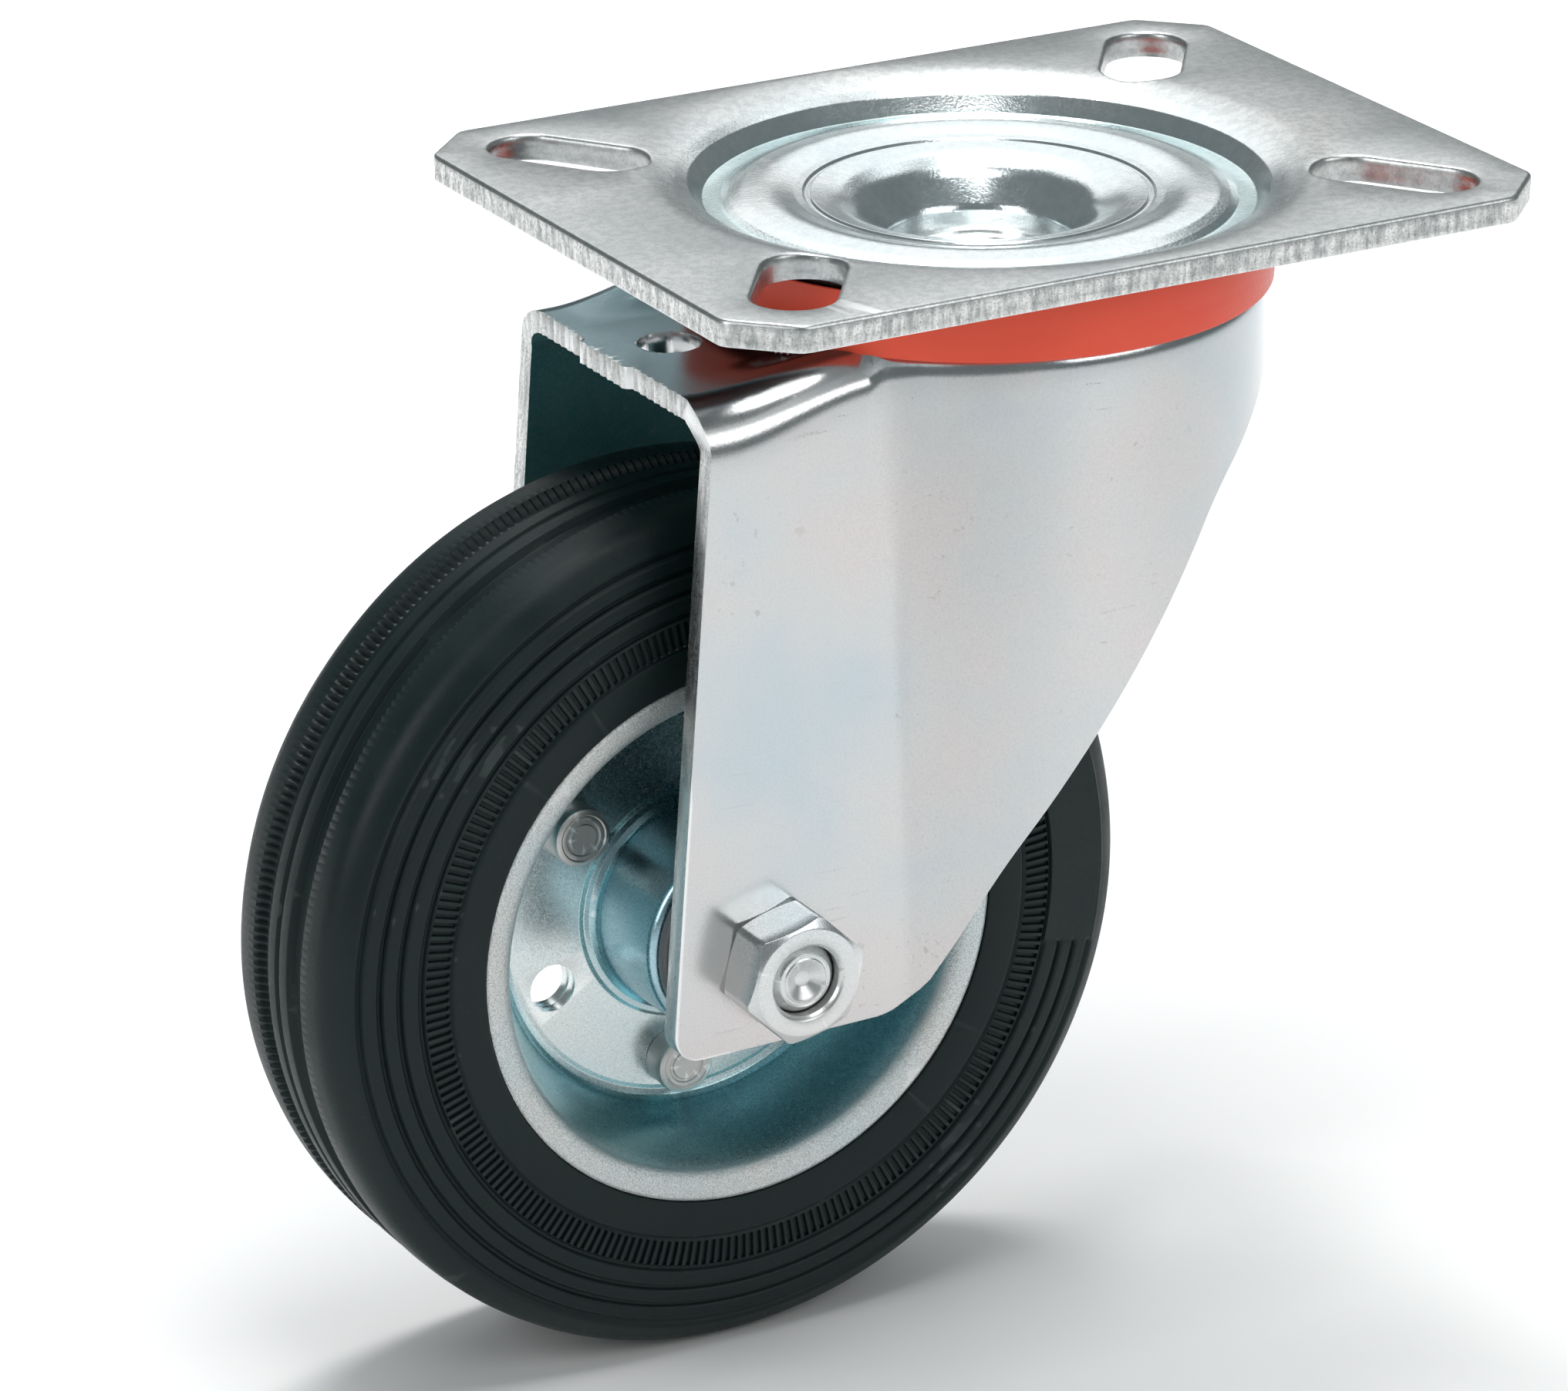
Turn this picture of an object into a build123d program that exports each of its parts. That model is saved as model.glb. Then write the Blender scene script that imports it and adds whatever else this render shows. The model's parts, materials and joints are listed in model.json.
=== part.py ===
from build123d import *
import math
import os

# Swivel castor, 100 mm rubber wheel, plate fixing. Millimetres, +Z up.
# Origin: centre of the plate's top face, on the swivel axis. The plate's long side lies along X,
# and at rest the fork trails towards -X, so the axle lies along Y.

# --- top plate ---
PLATE_LENGTH = 101.0
PLATE_WIDTH = 79.0
PLATE_THICKNESS = 3.0
PLATE_CORNER_CUT = 6.4
PLATE_CORNER_ROUND = 2.0
BOLT_SPACING_X = 80.0
BOLT_SPACING_Y = 60.0
INNER_SPACING_X = 68.6
INNER_SPACING_Y = 44.0
SLOT_RADIUS = 4.5
DISH_RADIUS = 38.0
PLATE_BORE_FLOOR = -11.4
PLATE_UNDERSIDE = -14.0

# --- swivel bearing ---
UPPER_BALL_RADIUS = 3.175
UPPER_BALL_COUNT = 22
UPPER_PITCH_RADIUS = 24.0
UPPER_BALL_HEIGHT = -8.5
UPPER_GROOVE_RADIUS = 3.35
LOWER_BALL_RADIUS = 2.38
LOWER_BALL_COUNT = 20
LOWER_PITCH_RADIUS = 18.0
LOWER_BALL_HEIGHT = -15.3
LOWER_GROOVE_RADIUS = 2.5
PIN_RADIUS = 6.0
PIN_HOLE_RADIUS = 6.05

# --- fork, pressed from one sheet ---
SHEET = 2.5
HEAD_RADIUS = 31.7
HEAD_TOP = -10.7
HEAD_ROLL = 3.0
HEAD_BORE_RADIUS = 14.5
CROWN_TOP = -14.2
CROWN_BEND = 4.0
CROWN_REAR = -46.0
CROWN_HOLE_RADIUS = 3.5
CROWN_HOLE_X = -38.8
LEG_FACE = 22.0
VALLEY_RADIUS = 5.0
LEG_BOTTOM = -88.6
AXLE_HOLE_RADIUS = 4.2

# --- wheel and axle ---
TRAIL = 37.8
AXLE_HEIGHT = -79.0
TYRE_RADIUS = 50.0
RIM_SHEET = 1.5
RIM_FLANGE_FACE = 13.6
COLLAR_RADIUS = 12.0
COLLAR_END = 15.0
RIVET_PITCH_RADIUS = 18.7
RIVET_COUNT = 3
FIRST_RIVET_DEG = 22.5
RIVET_HEAD_RADIUS = 3.4
RIVET_HEAD_HEIGHT = 3.4
RIVET_SHANK_RADIUS = 2.4
RIM_HOLE_RADIUS = 2.75
RACE_BORE_RADIUS = 9.0
ROLLER_RADIUS = 1.45
ROLLER_PITCH_RADIUS = 7.5
ROLLER_COUNT = 10
ROLLER_LENGTH = 25.0
TUBE_RADIUS = 6.0
BOLT_RADIUS = 4.0
NUT_ACROSS_FLATS = 13.0
NUT_HEIGHT = 6.5
NUT_TURN_DEG = 15.0
HEAD_HEIGHT = 5.3

WHEEL_CENTRE = Pos(-TRAIL, 0, AXLE_HEIGHT)
CLEAR = 0.05


def rounded(points):
    """Face inside a closed outline. Each point is (x, y) or (x, y, corner radius)."""
    corners = []
    for i, (x, y, *radius) in enumerate(points):
        here = Vector(x, y)
        back = (Vector(*points[i - 1][:2]) - here).normalized()
        ahead = (Vector(*points[(i + 1) % len(points)][:2]) - here).normalized()
        if not radius:
            corners.append((here, None, here))
            continue
        half = math.radians(back.get_angle(ahead)) / 2
        reach = radius[0] / math.tan(half)
        centre = here + (back + ahead).normalized() * (radius[0] / math.sin(half))
        middle = centre + (here - centre).normalized() * radius[0]
        corners.append((here + back * reach, middle, here + ahead * reach))
    edges = []
    for i, (start, middle, end) in enumerate(corners):
        if middle:
            edges.append(ThreePointArc(start, middle, end))
        edges.append(Line(end, corners[(i + 1) % len(corners)][0]))
    return make_face(edges)


def turned_z(points):
    """Solid of revolution about Z from (radius, height) points."""
    face = Rot(90, 0, 0) * rounded(points)
    return revolve(face, axis=Axis.Z)


def turned_y(points):
    """Solid of revolution about Y from (radius, along the axle) points."""
    return revolve(rounded(points), axis=Axis.Y)


def upright(radius, bottom, top):
    """Cylinder about Z between two heights."""
    return Pos(0, 0, (bottom + top) / 2) * Cylinder(radius, top - bottom)


def crosswise(radius, start, end):
    """Cylinder about Y between two places along the axle."""
    return Pos(0, (start + end) / 2, 0) * Rot(90, 0, 0) * Cylinder(radius, end - start)


def around_z(count, radius, height, shape):
    """Copies of a shape on a circle about the swivel axis."""
    turns = [Rot(0, 0, 360 * i / count) for i in range(count)]
    return [turn * Pos(radius, 0, height) * shape for turn in turns]


def around_axle(count, radius, first_deg, shape):
    """Copies of a shape on a circle about Y, angles from +X towards +Z."""
    turns = [Rot(0, -first_deg - 360 * i / count, 0) for i in range(count)]
    return [turn * Pos(radius, 0, 0) * shape for turn in turns]


def write(name, shape):
    """One STEP file for each node."""
    shape = Compound(children=shape) if isinstance(shape, list) else shape
    shape.label = name
    export_step(shape, f"parts/{name}.step")


def slot_cut(sign_x, sign_y):
    """Slanted fixing slot between its outer and inner bolt places."""
    outer = Vector(sign_x * BOLT_SPACING_X / 2, sign_y * BOLT_SPACING_Y / 2)
    inner = Vector(sign_x * INNER_SPACING_X / 2, sign_y * INNER_SPACING_Y / 2)
    slot = SlotCenterToCenter((outer - inner).length, 2 * SLOT_RADIUS)
    angle = math.degrees(math.atan2(outer.Y - inner.Y, outer.X - inner.X))
    middle = (outer + inner) / 2
    placed = Pos(middle.X, middle.Y, -2 * PLATE_THICKNESS) * Rot(0, 0, angle) * slot
    return extrude(placed, 3 * PLATE_THICKNESS)


def plate_outline():
    """Rectangle with its four corners cut off at an angle."""
    x, y = PLATE_LENGTH / 2, PLATE_WIDTH / 2
    cut, soft = PLATE_CORNER_CUT, PLATE_CORNER_ROUND
    quarter = [(x, y - cut, soft), (x - cut, y, soft)]
    left = [(-px, py, r) for px, py, r in reversed(quarter)]
    below = [(-px, -py, r) for px, py, r in quarter + left]
    return rounded(quarter + left + below)


def groove(radius, pitch, height, start_deg, end_deg, steps=8):
    """Points along a ball groove in the half plane of revolution."""
    angles = [start_deg + (end_deg - start_deg) * i / steps for i in range(steps + 1)]
    return [
        (pitch + radius * math.cos(math.radians(a)), height + radius * math.sin(math.radians(a)))
        for a in angles
    ]


def top_plate():
    """Flat plate with a pressed dish, a raised ball track and a drawn funnel in the middle."""
    top = [
        (DISH_RADIUS, 0),
        (35.6, 0, 6),
        (32.2, -1.0, 1.5),
        (30.4, -3.7, 0.3),
        (28.5, -3.7, 1.2),
        (26.5, -2.7, 3),
        (23.0, -2.3, 6),
        (20.2, -3.1, 1.2),
        (19.4, -3.15),
        (19.1, -3.4),
        (18.8, -3.4),
        (18.5, -3.15),
        (15.4, -3.7, 6),
        (10.6, -8.3, 2.5),
        (10.0, PLATE_BORE_FLOOR, 0.4),
        (PIN_HOLE_RADIUS, PLATE_BORE_FLOOR),
    ]
    track = groove(UPPER_GROOVE_RADIUS, UPPER_PITCH_RADIUS, UPPER_BALL_HEIGHT, 140, 40)
    below = [
        (PIN_HOLE_RADIUS, PLATE_UNDERSIDE),
        (12.6, PLATE_UNDERSIDE, 1.0),
        (12.8, -9.8, 3),
        (17.2, -6.35, 3),
        *track,
        (31.3, -6.45, 1.5),
        (33.6, -3.2, 3),
        (35.8, -PLATE_THICKNESS),
        (DISH_RADIUS, -PLATE_THICKNESS),
    ]
    plate = extrude(plate_outline(), -PLATE_THICKNESS)
    plate -= upright(DISH_RADIUS, -2 * PLATE_THICKNESS, PLATE_THICKNESS)
    plate += turned_z(top + below)
    for sign_x in (-1, 1):
        for sign_y in (-1, 1):
            plate -= slot_cut(sign_x, sign_y)
    return plate


def king_pin():
    """Rivet that clamps the lower race to the plate's funnel."""
    under_race = PLATE_UNDERSIDE - 2.4
    return turned_z(
        [
            (0, PLATE_BORE_FLOOR + 0.7),
            (5.4, PLATE_BORE_FLOOR + 0.7),
            (5.8, PLATE_BORE_FLOOR + 1.1),
            (8.6, PLATE_BORE_FLOOR + 1.1, 0.4),
            (9.2, PLATE_BORE_FLOOR),
            (PIN_RADIUS, PLATE_BORE_FLOOR),
            (PIN_RADIUS, under_race),
            (9.8, under_race, 0.5),
            (8.4, under_race - 2.4, 1.5),
            (0, under_race - 2.4),
        ]
    )


def lower_race():
    """Pressed cup that carries the lower balls under the fork head."""
    start, end = 200, 340
    track = groove(LOWER_GROOVE_RADIUS, LOWER_PITCH_RADIUS, LOWER_BALL_HEIGHT, start, end)
    return turned_z(
        [
            (PIN_HOLE_RADIUS, PLATE_UNDERSIDE),
            (13.0, PLATE_UNDERSIDE, 1.0),
            *track,
            (20.9, -15.4),
            (22.3, -15.4),
            (22.3, -18.2, 1.5),
            (20.2, -19.8, 1.5),
            (15.6, -19.8, 1.5),
            (12.4, PLATE_UNDERSIDE - 2.4, 1.0),
            (PIN_HOLE_RADIUS, PLATE_UNDERSIDE - 2.4),
        ]
    )


def dust_ring():
    """Plastic ring on the fork head that closes the gap to the plate."""
    return turned_z(
        [
            (32.5, -12.1),
            (32.8, -5.9, 0.3),
            (31.5, -7.4),
            (31.4, HEAD_TOP + 0.9, 0.4),
            (27.8, HEAD_TOP + 0.9),
            (27.8, HEAD_TOP),
            (28.6, HEAD_TOP),
            (30.4, HEAD_TOP, 1.4),
            (31.45, -12.1),
        ]
    )


def hollow_plan(half_width, radius, valley):
    """Plan of the fork: a straight channel that runs into the round head."""
    channel = Pos(-35, 0) * Rectangle(70, 2 * half_width)
    plan = channel + Circle(radius)
    corners = [v for v in plan.vertices() if -radius < v.X < 0 and abs(abs(v.Y) - half_width) < 0.01]
    return fillet(corners, valley)


def fork_envelope(offset):
    """Solid inside the fork's outer skin, or inside its inner skin when offset by the sheet."""
    half_width, radius = LEG_FACE - offset, HEAD_RADIUS - offset
    crown, bottom = CROWN_TOP - offset, LEG_BOTTOM - 6
    plan = hollow_plan(half_width, radius, VALLEY_RADIUS + offset)
    body = extrude(Pos(0, 0, bottom) * plan, crown - bottom)
    sides = body.edges().filter_by(Axis.X).filter_by_position(Axis.Z, crown - 0.01, crown + 0.01)
    body = fillet(sides, CROWN_BEND - offset)
    head = upright(radius, bottom, HEAD_TOP - offset)
    rim = head.edges().sort_by(Axis.Z)[-1]
    return body + fillet(rim, HEAD_ROLL - offset)


def fork_side_view():
    """Side outline of the fork, to trim the pressing in the XZ plane."""
    outline = [
        (CROWN_REAR, 0),
        (CROWN_REAR, CROWN_TOP - 1.5),
        (-45.5, -19.0, 6),
        (-51.3, LEG_BOTTOM, 3.2),
        (-21.5, LEG_BOTTOM + 0.4, 7),
        (-13.2, -71.0, 60),
        (13.2, -31.5, 24),
        (26.5, -20.6, 12),
        (40.0, -19.0),
        (40.0, 0),
    ]
    return Rot(90, 0, 0) * rounded(outline)


def head_track():
    """Bead under the head that backs the upper ball track."""
    return turned_z(
        [
            (20.2, HEAD_TOP - SHEET + 0.5),
            (20.2, HEAD_TOP - SHEET),
            (21.8, HEAD_TOP - SHEET - 1.1, 1),
            (26.2, HEAD_TOP - SHEET - 1.1, 1),
            (27.8, HEAD_TOP - SHEET),
            (27.8, HEAD_TOP - SHEET + 0.5),
        ]
    )


def fork():
    """Head, crown and both legs of the pressed fork."""
    skin = fork_envelope(0) - fork_envelope(SHEET)
    side = extrude(fork_side_view(), HEAD_RADIUS + 2, both=True)
    tab = Pos(CROWN_REAR - 0.4, 0.5, CROWN_TOP - SHEET / 2) * Box(0.8, 10, SHEET)
    body = (skin & side) + tab + head_track()
    body -= upright(HEAD_BORE_RADIUS, -30, 0)
    body -= Pos(CROWN_HOLE_X, 0, CROWN_TOP) * Cylinder(CROWN_HOLE_RADIUS, 4 * SHEET)
    upper = Pos(UPPER_PITCH_RADIUS, 0, UPPER_BALL_HEIGHT) * Rot(90, 0, 0) * Circle(UPPER_GROOVE_RADIUS)
    lower = Pos(LOWER_PITCH_RADIUS, 0, LOWER_BALL_HEIGHT) * Rot(90, 0, 0) * Circle(LOWER_GROOVE_RADIUS)
    body -= revolve(upper, axis=Axis.Z)
    body -= revolve(lower, axis=Axis.Z)
    return body - WHEEL_CENTRE * crosswise(AXLE_HOLE_RADIUS, -LEG_FACE - 2, LEG_FACE + 2)


def rim_half():
    """Near half of the pressed rim: collar, web, barrel and rolled flange."""
    web, face = -RIM_SHEET, -RIM_FLANGE_FACE
    inner = COLLAR_RADIUS - RIM_SHEET
    half = turned_y(
        [
            (inner, 0),
            (24.3, 0, 1.2),
            (28.4, -9.2, 5),
            (29.2, face + 1.3, 1.5),
            (31.4, face + 1.3),
            (31.4, face),
            (28.4, face, 2.6),
            (26.9, -9.5, 5),
            (23.2, web, 1.4),
            (13.7, web),
            (13.7, web - 0.6, 0.3),
            (COLLAR_RADIUS, web - 0.6, 0.9),
            (COLLAR_RADIUS, -COLLAR_END, 1.2),
            (inner, -COLLAR_END),
        ]
    )
    shank = crosswise(RIVET_SHANK_RADIUS + CLEAR, web - 1, 1)
    opening = crosswise(RIM_HOLE_RADIUS, web - 1, 1)
    between = FIRST_RIVET_DEG + 180 / RIVET_COUNT
    for cut in around_axle(RIVET_COUNT, RIVET_PITCH_RADIUS, FIRST_RIVET_DEG, shank):
        half -= cut
    for cut in around_axle(RIVET_COUNT, RIVET_PITCH_RADIUS, between, opening):
        half -= cut
    return half


def rivet():
    """Flat-headed rivet through both rim webs, with a shallow ring on each head."""
    reach = RIM_SHEET + RIVET_HEAD_HEIGHT
    return turned_y(
        [
            (0, reach),
            (2.0, reach),
            (2.1, reach - 0.15),
            (2.3, reach - 0.15),
            (2.4, reach),
            (RIVET_HEAD_RADIUS, reach, 0.3),
            (RIVET_HEAD_RADIUS, RIM_SHEET),
            (RIVET_SHANK_RADIUS, RIM_SHEET),
            (RIVET_SHANK_RADIUS, -RIM_SHEET),
            (RIVET_HEAD_RADIUS, -RIM_SHEET),
            (RIVET_HEAD_RADIUS, -reach, 0.3),
            (2.4, -reach),
            (2.3, -reach + 0.15),
            (2.1, -reach + 0.15),
            (2.0, -reach),
            (0, -reach),
        ]
    )


def tyre_half_outline():
    """One half of the tyre section from the bead up to the middle of the tread."""
    return [
        (28.9, 8.4),
        (29.75, 12.2, 1.9),
        (31.5, 12.2),
        (31.5, 13.75),
        (35.5, 14.1, 0.3),
        (35.7, 13.7),
        (36.1, 13.7),
        (36.2, 13.9),
        (38.9, 13.9),
        (39.0, 13.5),
        (39.4, 13.5),
        (39.6, 14.0, 0.2),
        (41.3, 13.8, 0.3),
        (41.7, 13.3),
        (41.9, 13.7, 0.2),
        (43.5, 13.4, 0.3),
        (43.9, 12.9),
        (44.1, 13.3, 0.2),
        (45.8, 12.9, 0.3),
        (46.2, 12.4),
        (46.4, 12.8, 0.3),
        (49.8, 10.6, 3.0),
        (TYRE_RADIUS, 5.4, 0.3),
        (48.9, 4.5, 0.3),
        (48.9, 3.0, 0.3),
        (TYRE_RADIUS - 0.1, 2.3, 0.3),
        (TYRE_RADIUS, 0.6),
        (TYRE_RADIUS - 0.4, 0.3),
    ]


def tyre():
    """Solid rubber tyre gripped between the rim flanges."""
    one = tyre_half_outline()
    other = [(p[0], -p[1], *p[2:]) for p in reversed(one)]
    return turned_y(one + other)


def outer_race():
    """Tube pressed into both rim collars, in which the rollers run."""
    wall = COLLAR_RADIUS - RIM_SHEET - RACE_BORE_RADIUS
    return turned_y(
        [
            (RACE_BORE_RADIUS, -COLLAR_END),
            (RACE_BORE_RADIUS + wall - 0.01, -COLLAR_END),
            (RACE_BORE_RADIUS + wall - 0.01, COLLAR_END),
            (RACE_BORE_RADIUS, COLLAR_END),
        ]
    )


def roller_cage():
    """Plastic cage with one long pocket for each roller."""
    end = ROLLER_LENGTH / 2 + 0.7
    cage = turned_y([(6.6, -end), (8.4, -end), (8.4, end), (6.6, end)])
    pocket = Box(4, ROLLER_LENGTH + 0.3, 2 * ROLLER_RADIUS + 0.2)
    for cut in around_axle(ROLLER_COUNT, ROLLER_PITCH_RADIUS, 0, pocket):
        cage -= cut
    return cage


def rollers():
    """Bearing rollers, one in each pocket."""
    roller = crosswise(ROLLER_RADIUS, -ROLLER_LENGTH / 2, ROLLER_LENGTH / 2)
    return around_axle(ROLLER_COUNT, ROLLER_PITCH_RADIUS, 0, roller)


def hub_cap():
    """Plastic cap that closes the far end of the hub and clears the axle tube."""
    return turned_y(
        [
            (6.4, 14.0),
            (8.95, 14.0),
            (8.95, COLLAR_END),
            (11.2, COLLAR_END),
            (11.2, COLLAR_END + 1.4, 0.6),
            (6.4, COLLAR_END + 1.4),
        ]
    )


def axle_tube():
    """Tube clamped between the legs, on which the rollers run."""
    end = LEG_FACE - SHEET
    return turned_y(
        [
            (BOLT_RADIUS + 0.1, -end),
            (TUBE_RADIUS, -end),
            (TUBE_RADIUS, end),
            (BOLT_RADIUS + 0.1, end),
        ]
    )


def thrust_washer():
    """Washer that keeps the hub clear of the far leg."""
    start, end = COLLAR_END + 1.9, LEG_FACE - SHEET
    return turned_y([(TUBE_RADIUS + CLEAR, start), (9.0, start, 0.3), (9.0, end), (TUBE_RADIUS + CLEAR, end)])


def hexagon_prism(start, end):
    """Hexagon bar along Y, turned to the nut's angle."""
    outline = RegularPolygon(NUT_ACROSS_FLATS / 2, 6, major_radius=False)
    bar = extrude(Rot(90, 0, 0) * outline, (end - start) / 2, both=True)
    vertex = math.degrees(math.atan2(outline.vertices()[0].Y, outline.vertices()[0].X))
    return Pos(0, (start + end) / 2, 0) * Rot(0, vertex - NUT_TURN_DEG, 0) * bar


def corner_cone(face, depth, outward):
    """Turned blank that rounds off a hexagon's corners at one face."""
    wide = NUT_ACROSS_FLATS
    flat = NUT_ACROSS_FLATS / 2 - 0.3
    slope = 1.2 * outward
    return turned_y(
        [(0, face), (flat, face), (flat + 2.4, face - slope), (wide, face - slope), (wide, depth), (0, depth)]
    )


def axle_nut():
    """Hexagon nut on the near leg, chamfered at its outer face."""
    start, end = -LEG_FACE - NUT_HEIGHT, -LEG_FACE
    nut = hexagon_prism(start, end) & corner_cone(start, end, -1)
    nut -= crosswise(BOLT_RADIUS + CLEAR, start - 1, end + 1)
    mouth = turned_y([(0, start), (4.7, start), (4.0, start + 0.7), (0, start + 0.7)])
    return nut - mouth


def axle_bolt():
    """Hexagon bolt with its head on the far leg and its dimpled end inside the nut."""
    start, end = -LEG_FACE - NUT_HEIGHT + 0.6, LEG_FACE
    head = hexagon_prism(end, end + HEAD_HEIGHT) & corner_cone(end + HEAD_HEIGHT, end, 1)
    shank = turned_y(
        [
            (0, start + 0.9),
            (1.2, start + 0.7, 0.5),
            (2.4, start),
            (3.1, start),
            (BOLT_RADIUS, start + 0.8),
            (BOLT_RADIUS, end + 0.5),
            (0, end + 0.5),
        ]
    )
    return head + shank


write("top_plate", top_plate())
write("king_pin", king_pin())
write("lower_race", lower_race())
write("upper_balls", around_z(UPPER_BALL_COUNT, UPPER_PITCH_RADIUS, UPPER_BALL_HEIGHT, Sphere(UPPER_BALL_RADIUS)))
write("lower_balls", around_z(LOWER_BALL_COUNT, LOWER_PITCH_RADIUS, LOWER_BALL_HEIGHT, Sphere(LOWER_BALL_RADIUS)))
write("dust_ring", dust_ring())
write("fork", fork())

near_half = rim_half()
write("rim_near", WHEEL_CENTRE * near_half)
write("rim_far", WHEEL_CENTRE * mirror(near_half, about=Plane.XZ))
write("rim_rivets", [WHEEL_CENTRE * r for r in around_axle(RIVET_COUNT, RIVET_PITCH_RADIUS, FIRST_RIVET_DEG, rivet())])
write("tyre", WHEEL_CENTRE * tyre())
write("bearing_race", WHEEL_CENTRE * outer_race())
write("roller_cage", WHEEL_CENTRE * roller_cage())
write("rollers", [WHEEL_CENTRE * r for r in rollers()])
write("hub_cap_far", WHEEL_CENTRE * hub_cap())
write("hub_cap_near", WHEEL_CENTRE * mirror(hub_cap(), about=Plane.XZ))
write("thrust_washer_far", WHEEL_CENTRE * thrust_washer())
write("thrust_washer_near", WHEEL_CENTRE * mirror(thrust_washer(), about=Plane.XZ))
write("axle_tube", WHEEL_CENTRE * axle_tube())
write("axle_bolt", WHEEL_CENTRE * axle_bolt())
write("axle_nut", WHEEL_CENTRE * axle_nut())
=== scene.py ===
import bpy
import bmesh
import json
import math
import numpy as np
from mathutils import Matrix, Vector
from mathutils.geometry import delaunay_2d_cdt


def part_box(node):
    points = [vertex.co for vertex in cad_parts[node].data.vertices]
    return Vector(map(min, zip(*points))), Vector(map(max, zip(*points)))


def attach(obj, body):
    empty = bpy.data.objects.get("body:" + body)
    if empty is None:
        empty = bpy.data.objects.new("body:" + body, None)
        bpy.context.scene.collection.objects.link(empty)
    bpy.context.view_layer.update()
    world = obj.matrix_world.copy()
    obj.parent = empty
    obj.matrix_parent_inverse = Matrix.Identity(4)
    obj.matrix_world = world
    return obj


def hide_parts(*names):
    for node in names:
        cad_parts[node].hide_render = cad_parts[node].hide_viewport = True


# Swivel castor. Shapes below are worked out in millimetres in the row frame: +Z up out of the plate,
# fork trailing towards -X, axle along Y with its nut on -Y. Meshes are written in metres.

MM = 0.001
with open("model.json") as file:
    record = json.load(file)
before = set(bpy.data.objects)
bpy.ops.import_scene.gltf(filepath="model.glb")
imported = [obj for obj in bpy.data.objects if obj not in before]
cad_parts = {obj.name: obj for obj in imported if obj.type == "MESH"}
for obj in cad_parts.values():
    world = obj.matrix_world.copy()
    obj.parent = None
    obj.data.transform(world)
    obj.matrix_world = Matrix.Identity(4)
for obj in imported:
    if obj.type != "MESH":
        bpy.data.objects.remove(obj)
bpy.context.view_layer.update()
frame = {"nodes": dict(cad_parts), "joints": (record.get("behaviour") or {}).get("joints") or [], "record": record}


def box(node):
    """Lowest and highest corner of a CAD node in millimetres."""
    low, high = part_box(node)
    return np.array(low) / MM, np.array(high) / MM


def joint_place(name):
    """A joint's centre in millimetres."""
    joint = next(j for j in frame["joints"] if j["name"] == name)
    return np.array(joint["pos_m"]) / MM


def bolt_places(name):
    """Half the spacing of a bolt pattern, and its hole's radius, in millimetres."""
    dims = next(m for m in frame["record"]["mounts"] if m["name"] == name)["dims"]
    return np.array([dims["spacing_x_mm"], dims["spacing_y_mm"]]) / 2, dims["hole_r_mm"]


# sizes from the frame
AXLE = joint_place("wheel_spin")
PLATE_HIGH = box("top_plate")[1]
PLATE_SHEET = 3.0
LEG_FACE = -box("axle_nut")[1][1]
SHEET = LEG_FACE + box("thrust_washer_near")[0][1]
FORK_LOW, FORK_HIGH = box("fork")
HEAD_RADIUS = FORK_HIGH[0]
HEAD_TOP = FORK_HIGH[2]
TYRE_RADIUS = box("tyre")[1][2] - AXLE[2]

# sizes that the frame's boxes don't give
DISH_RADIUS = 38.0
CROWN_TOP = HEAD_TOP - 3.5
CROWN_REAR = -46.0
CROWN_HOLE = (-38.8, 3.5)
SHOULDER_RISE = 2.5
HEAD_STEP = 31.9
CROWN_BEND = 6.0
CREASE_BEND = 4.2
HEAD_ROLL = 3.0
HEAD_BORE = 14.5
AXLE_HOLE = 4.2
RIVET_PITCH = 18.7
RIM_HOLE = 2.75
RIVET_SHANK = 2.4
RIVET_COUNT = 3
FIRST_RIVET = math.radians(22.5)
COLLAR_RADIUS = 12.0
COLLAR_END = 15.0
NUT_TURN = math.radians(15)
ACROSS_FLATS = 13.0
CHAMFER_START = ACROSS_FLATS / 2 - 0.32
CHAMFER_SLOPE = math.tan(math.radians(30))
CORNER_BLUNTING = 0.16
HEXAGON_POINTS = 240
UPPER_TRACK, UPPER_TRACK_HEIGHT, UPPER_GROOVE = 24.0, -8.5, 3.35
LOWER_TRACK, LOWER_TRACK_HEIGHT, LOWER_GROOVE = 18.0, -15.3, 2.5
PIN_FLOOR, PIN_UNDER = -11.4, -16.4
RIM_WEB = 1.5


# ---- outlines

def smooth(t):
    """Smooth step from 0 to 1."""
    t = np.clip(t, 0, 1)
    return t * t * (3 - 2 * t)


def rounded(points, steps=5, closed=True):
    """Outline as an array, with each corner given as (x, y, radius) turned into an arc."""
    out = []
    for i, (x, y, *radius) in enumerate(points):
        here = np.array((x, y), float)
        if not radius or (not closed and i in (0, len(points) - 1)):
            out.append(here)
            continue
        back = np.array(points[i - 1][:2]) - here
        ahead = np.array(points[(i + 1) % len(points)][:2]) - here
        back, ahead = back / np.linalg.norm(back), ahead / np.linalg.norm(ahead)
        half = math.acos(np.clip(back @ ahead, -1, 1)) / 2
        middle = (back + ahead) / np.linalg.norm(back + ahead)
        centre = here + middle * radius[0] / math.sin(half)
        arm = here + back * radius[0] / math.tan(half) - centre
        turn = math.copysign(math.pi - 2 * half, -(back[0] * ahead[1] - back[1] * ahead[0]))
        for t in np.linspace(0, turn, steps + 1):
            c, s = math.cos(t), math.sin(t)
            out.append(centre + np.array([c * arm[0] - s * arm[1], s * arm[0] + c * arm[1]]))
    return np.array(out)


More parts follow.
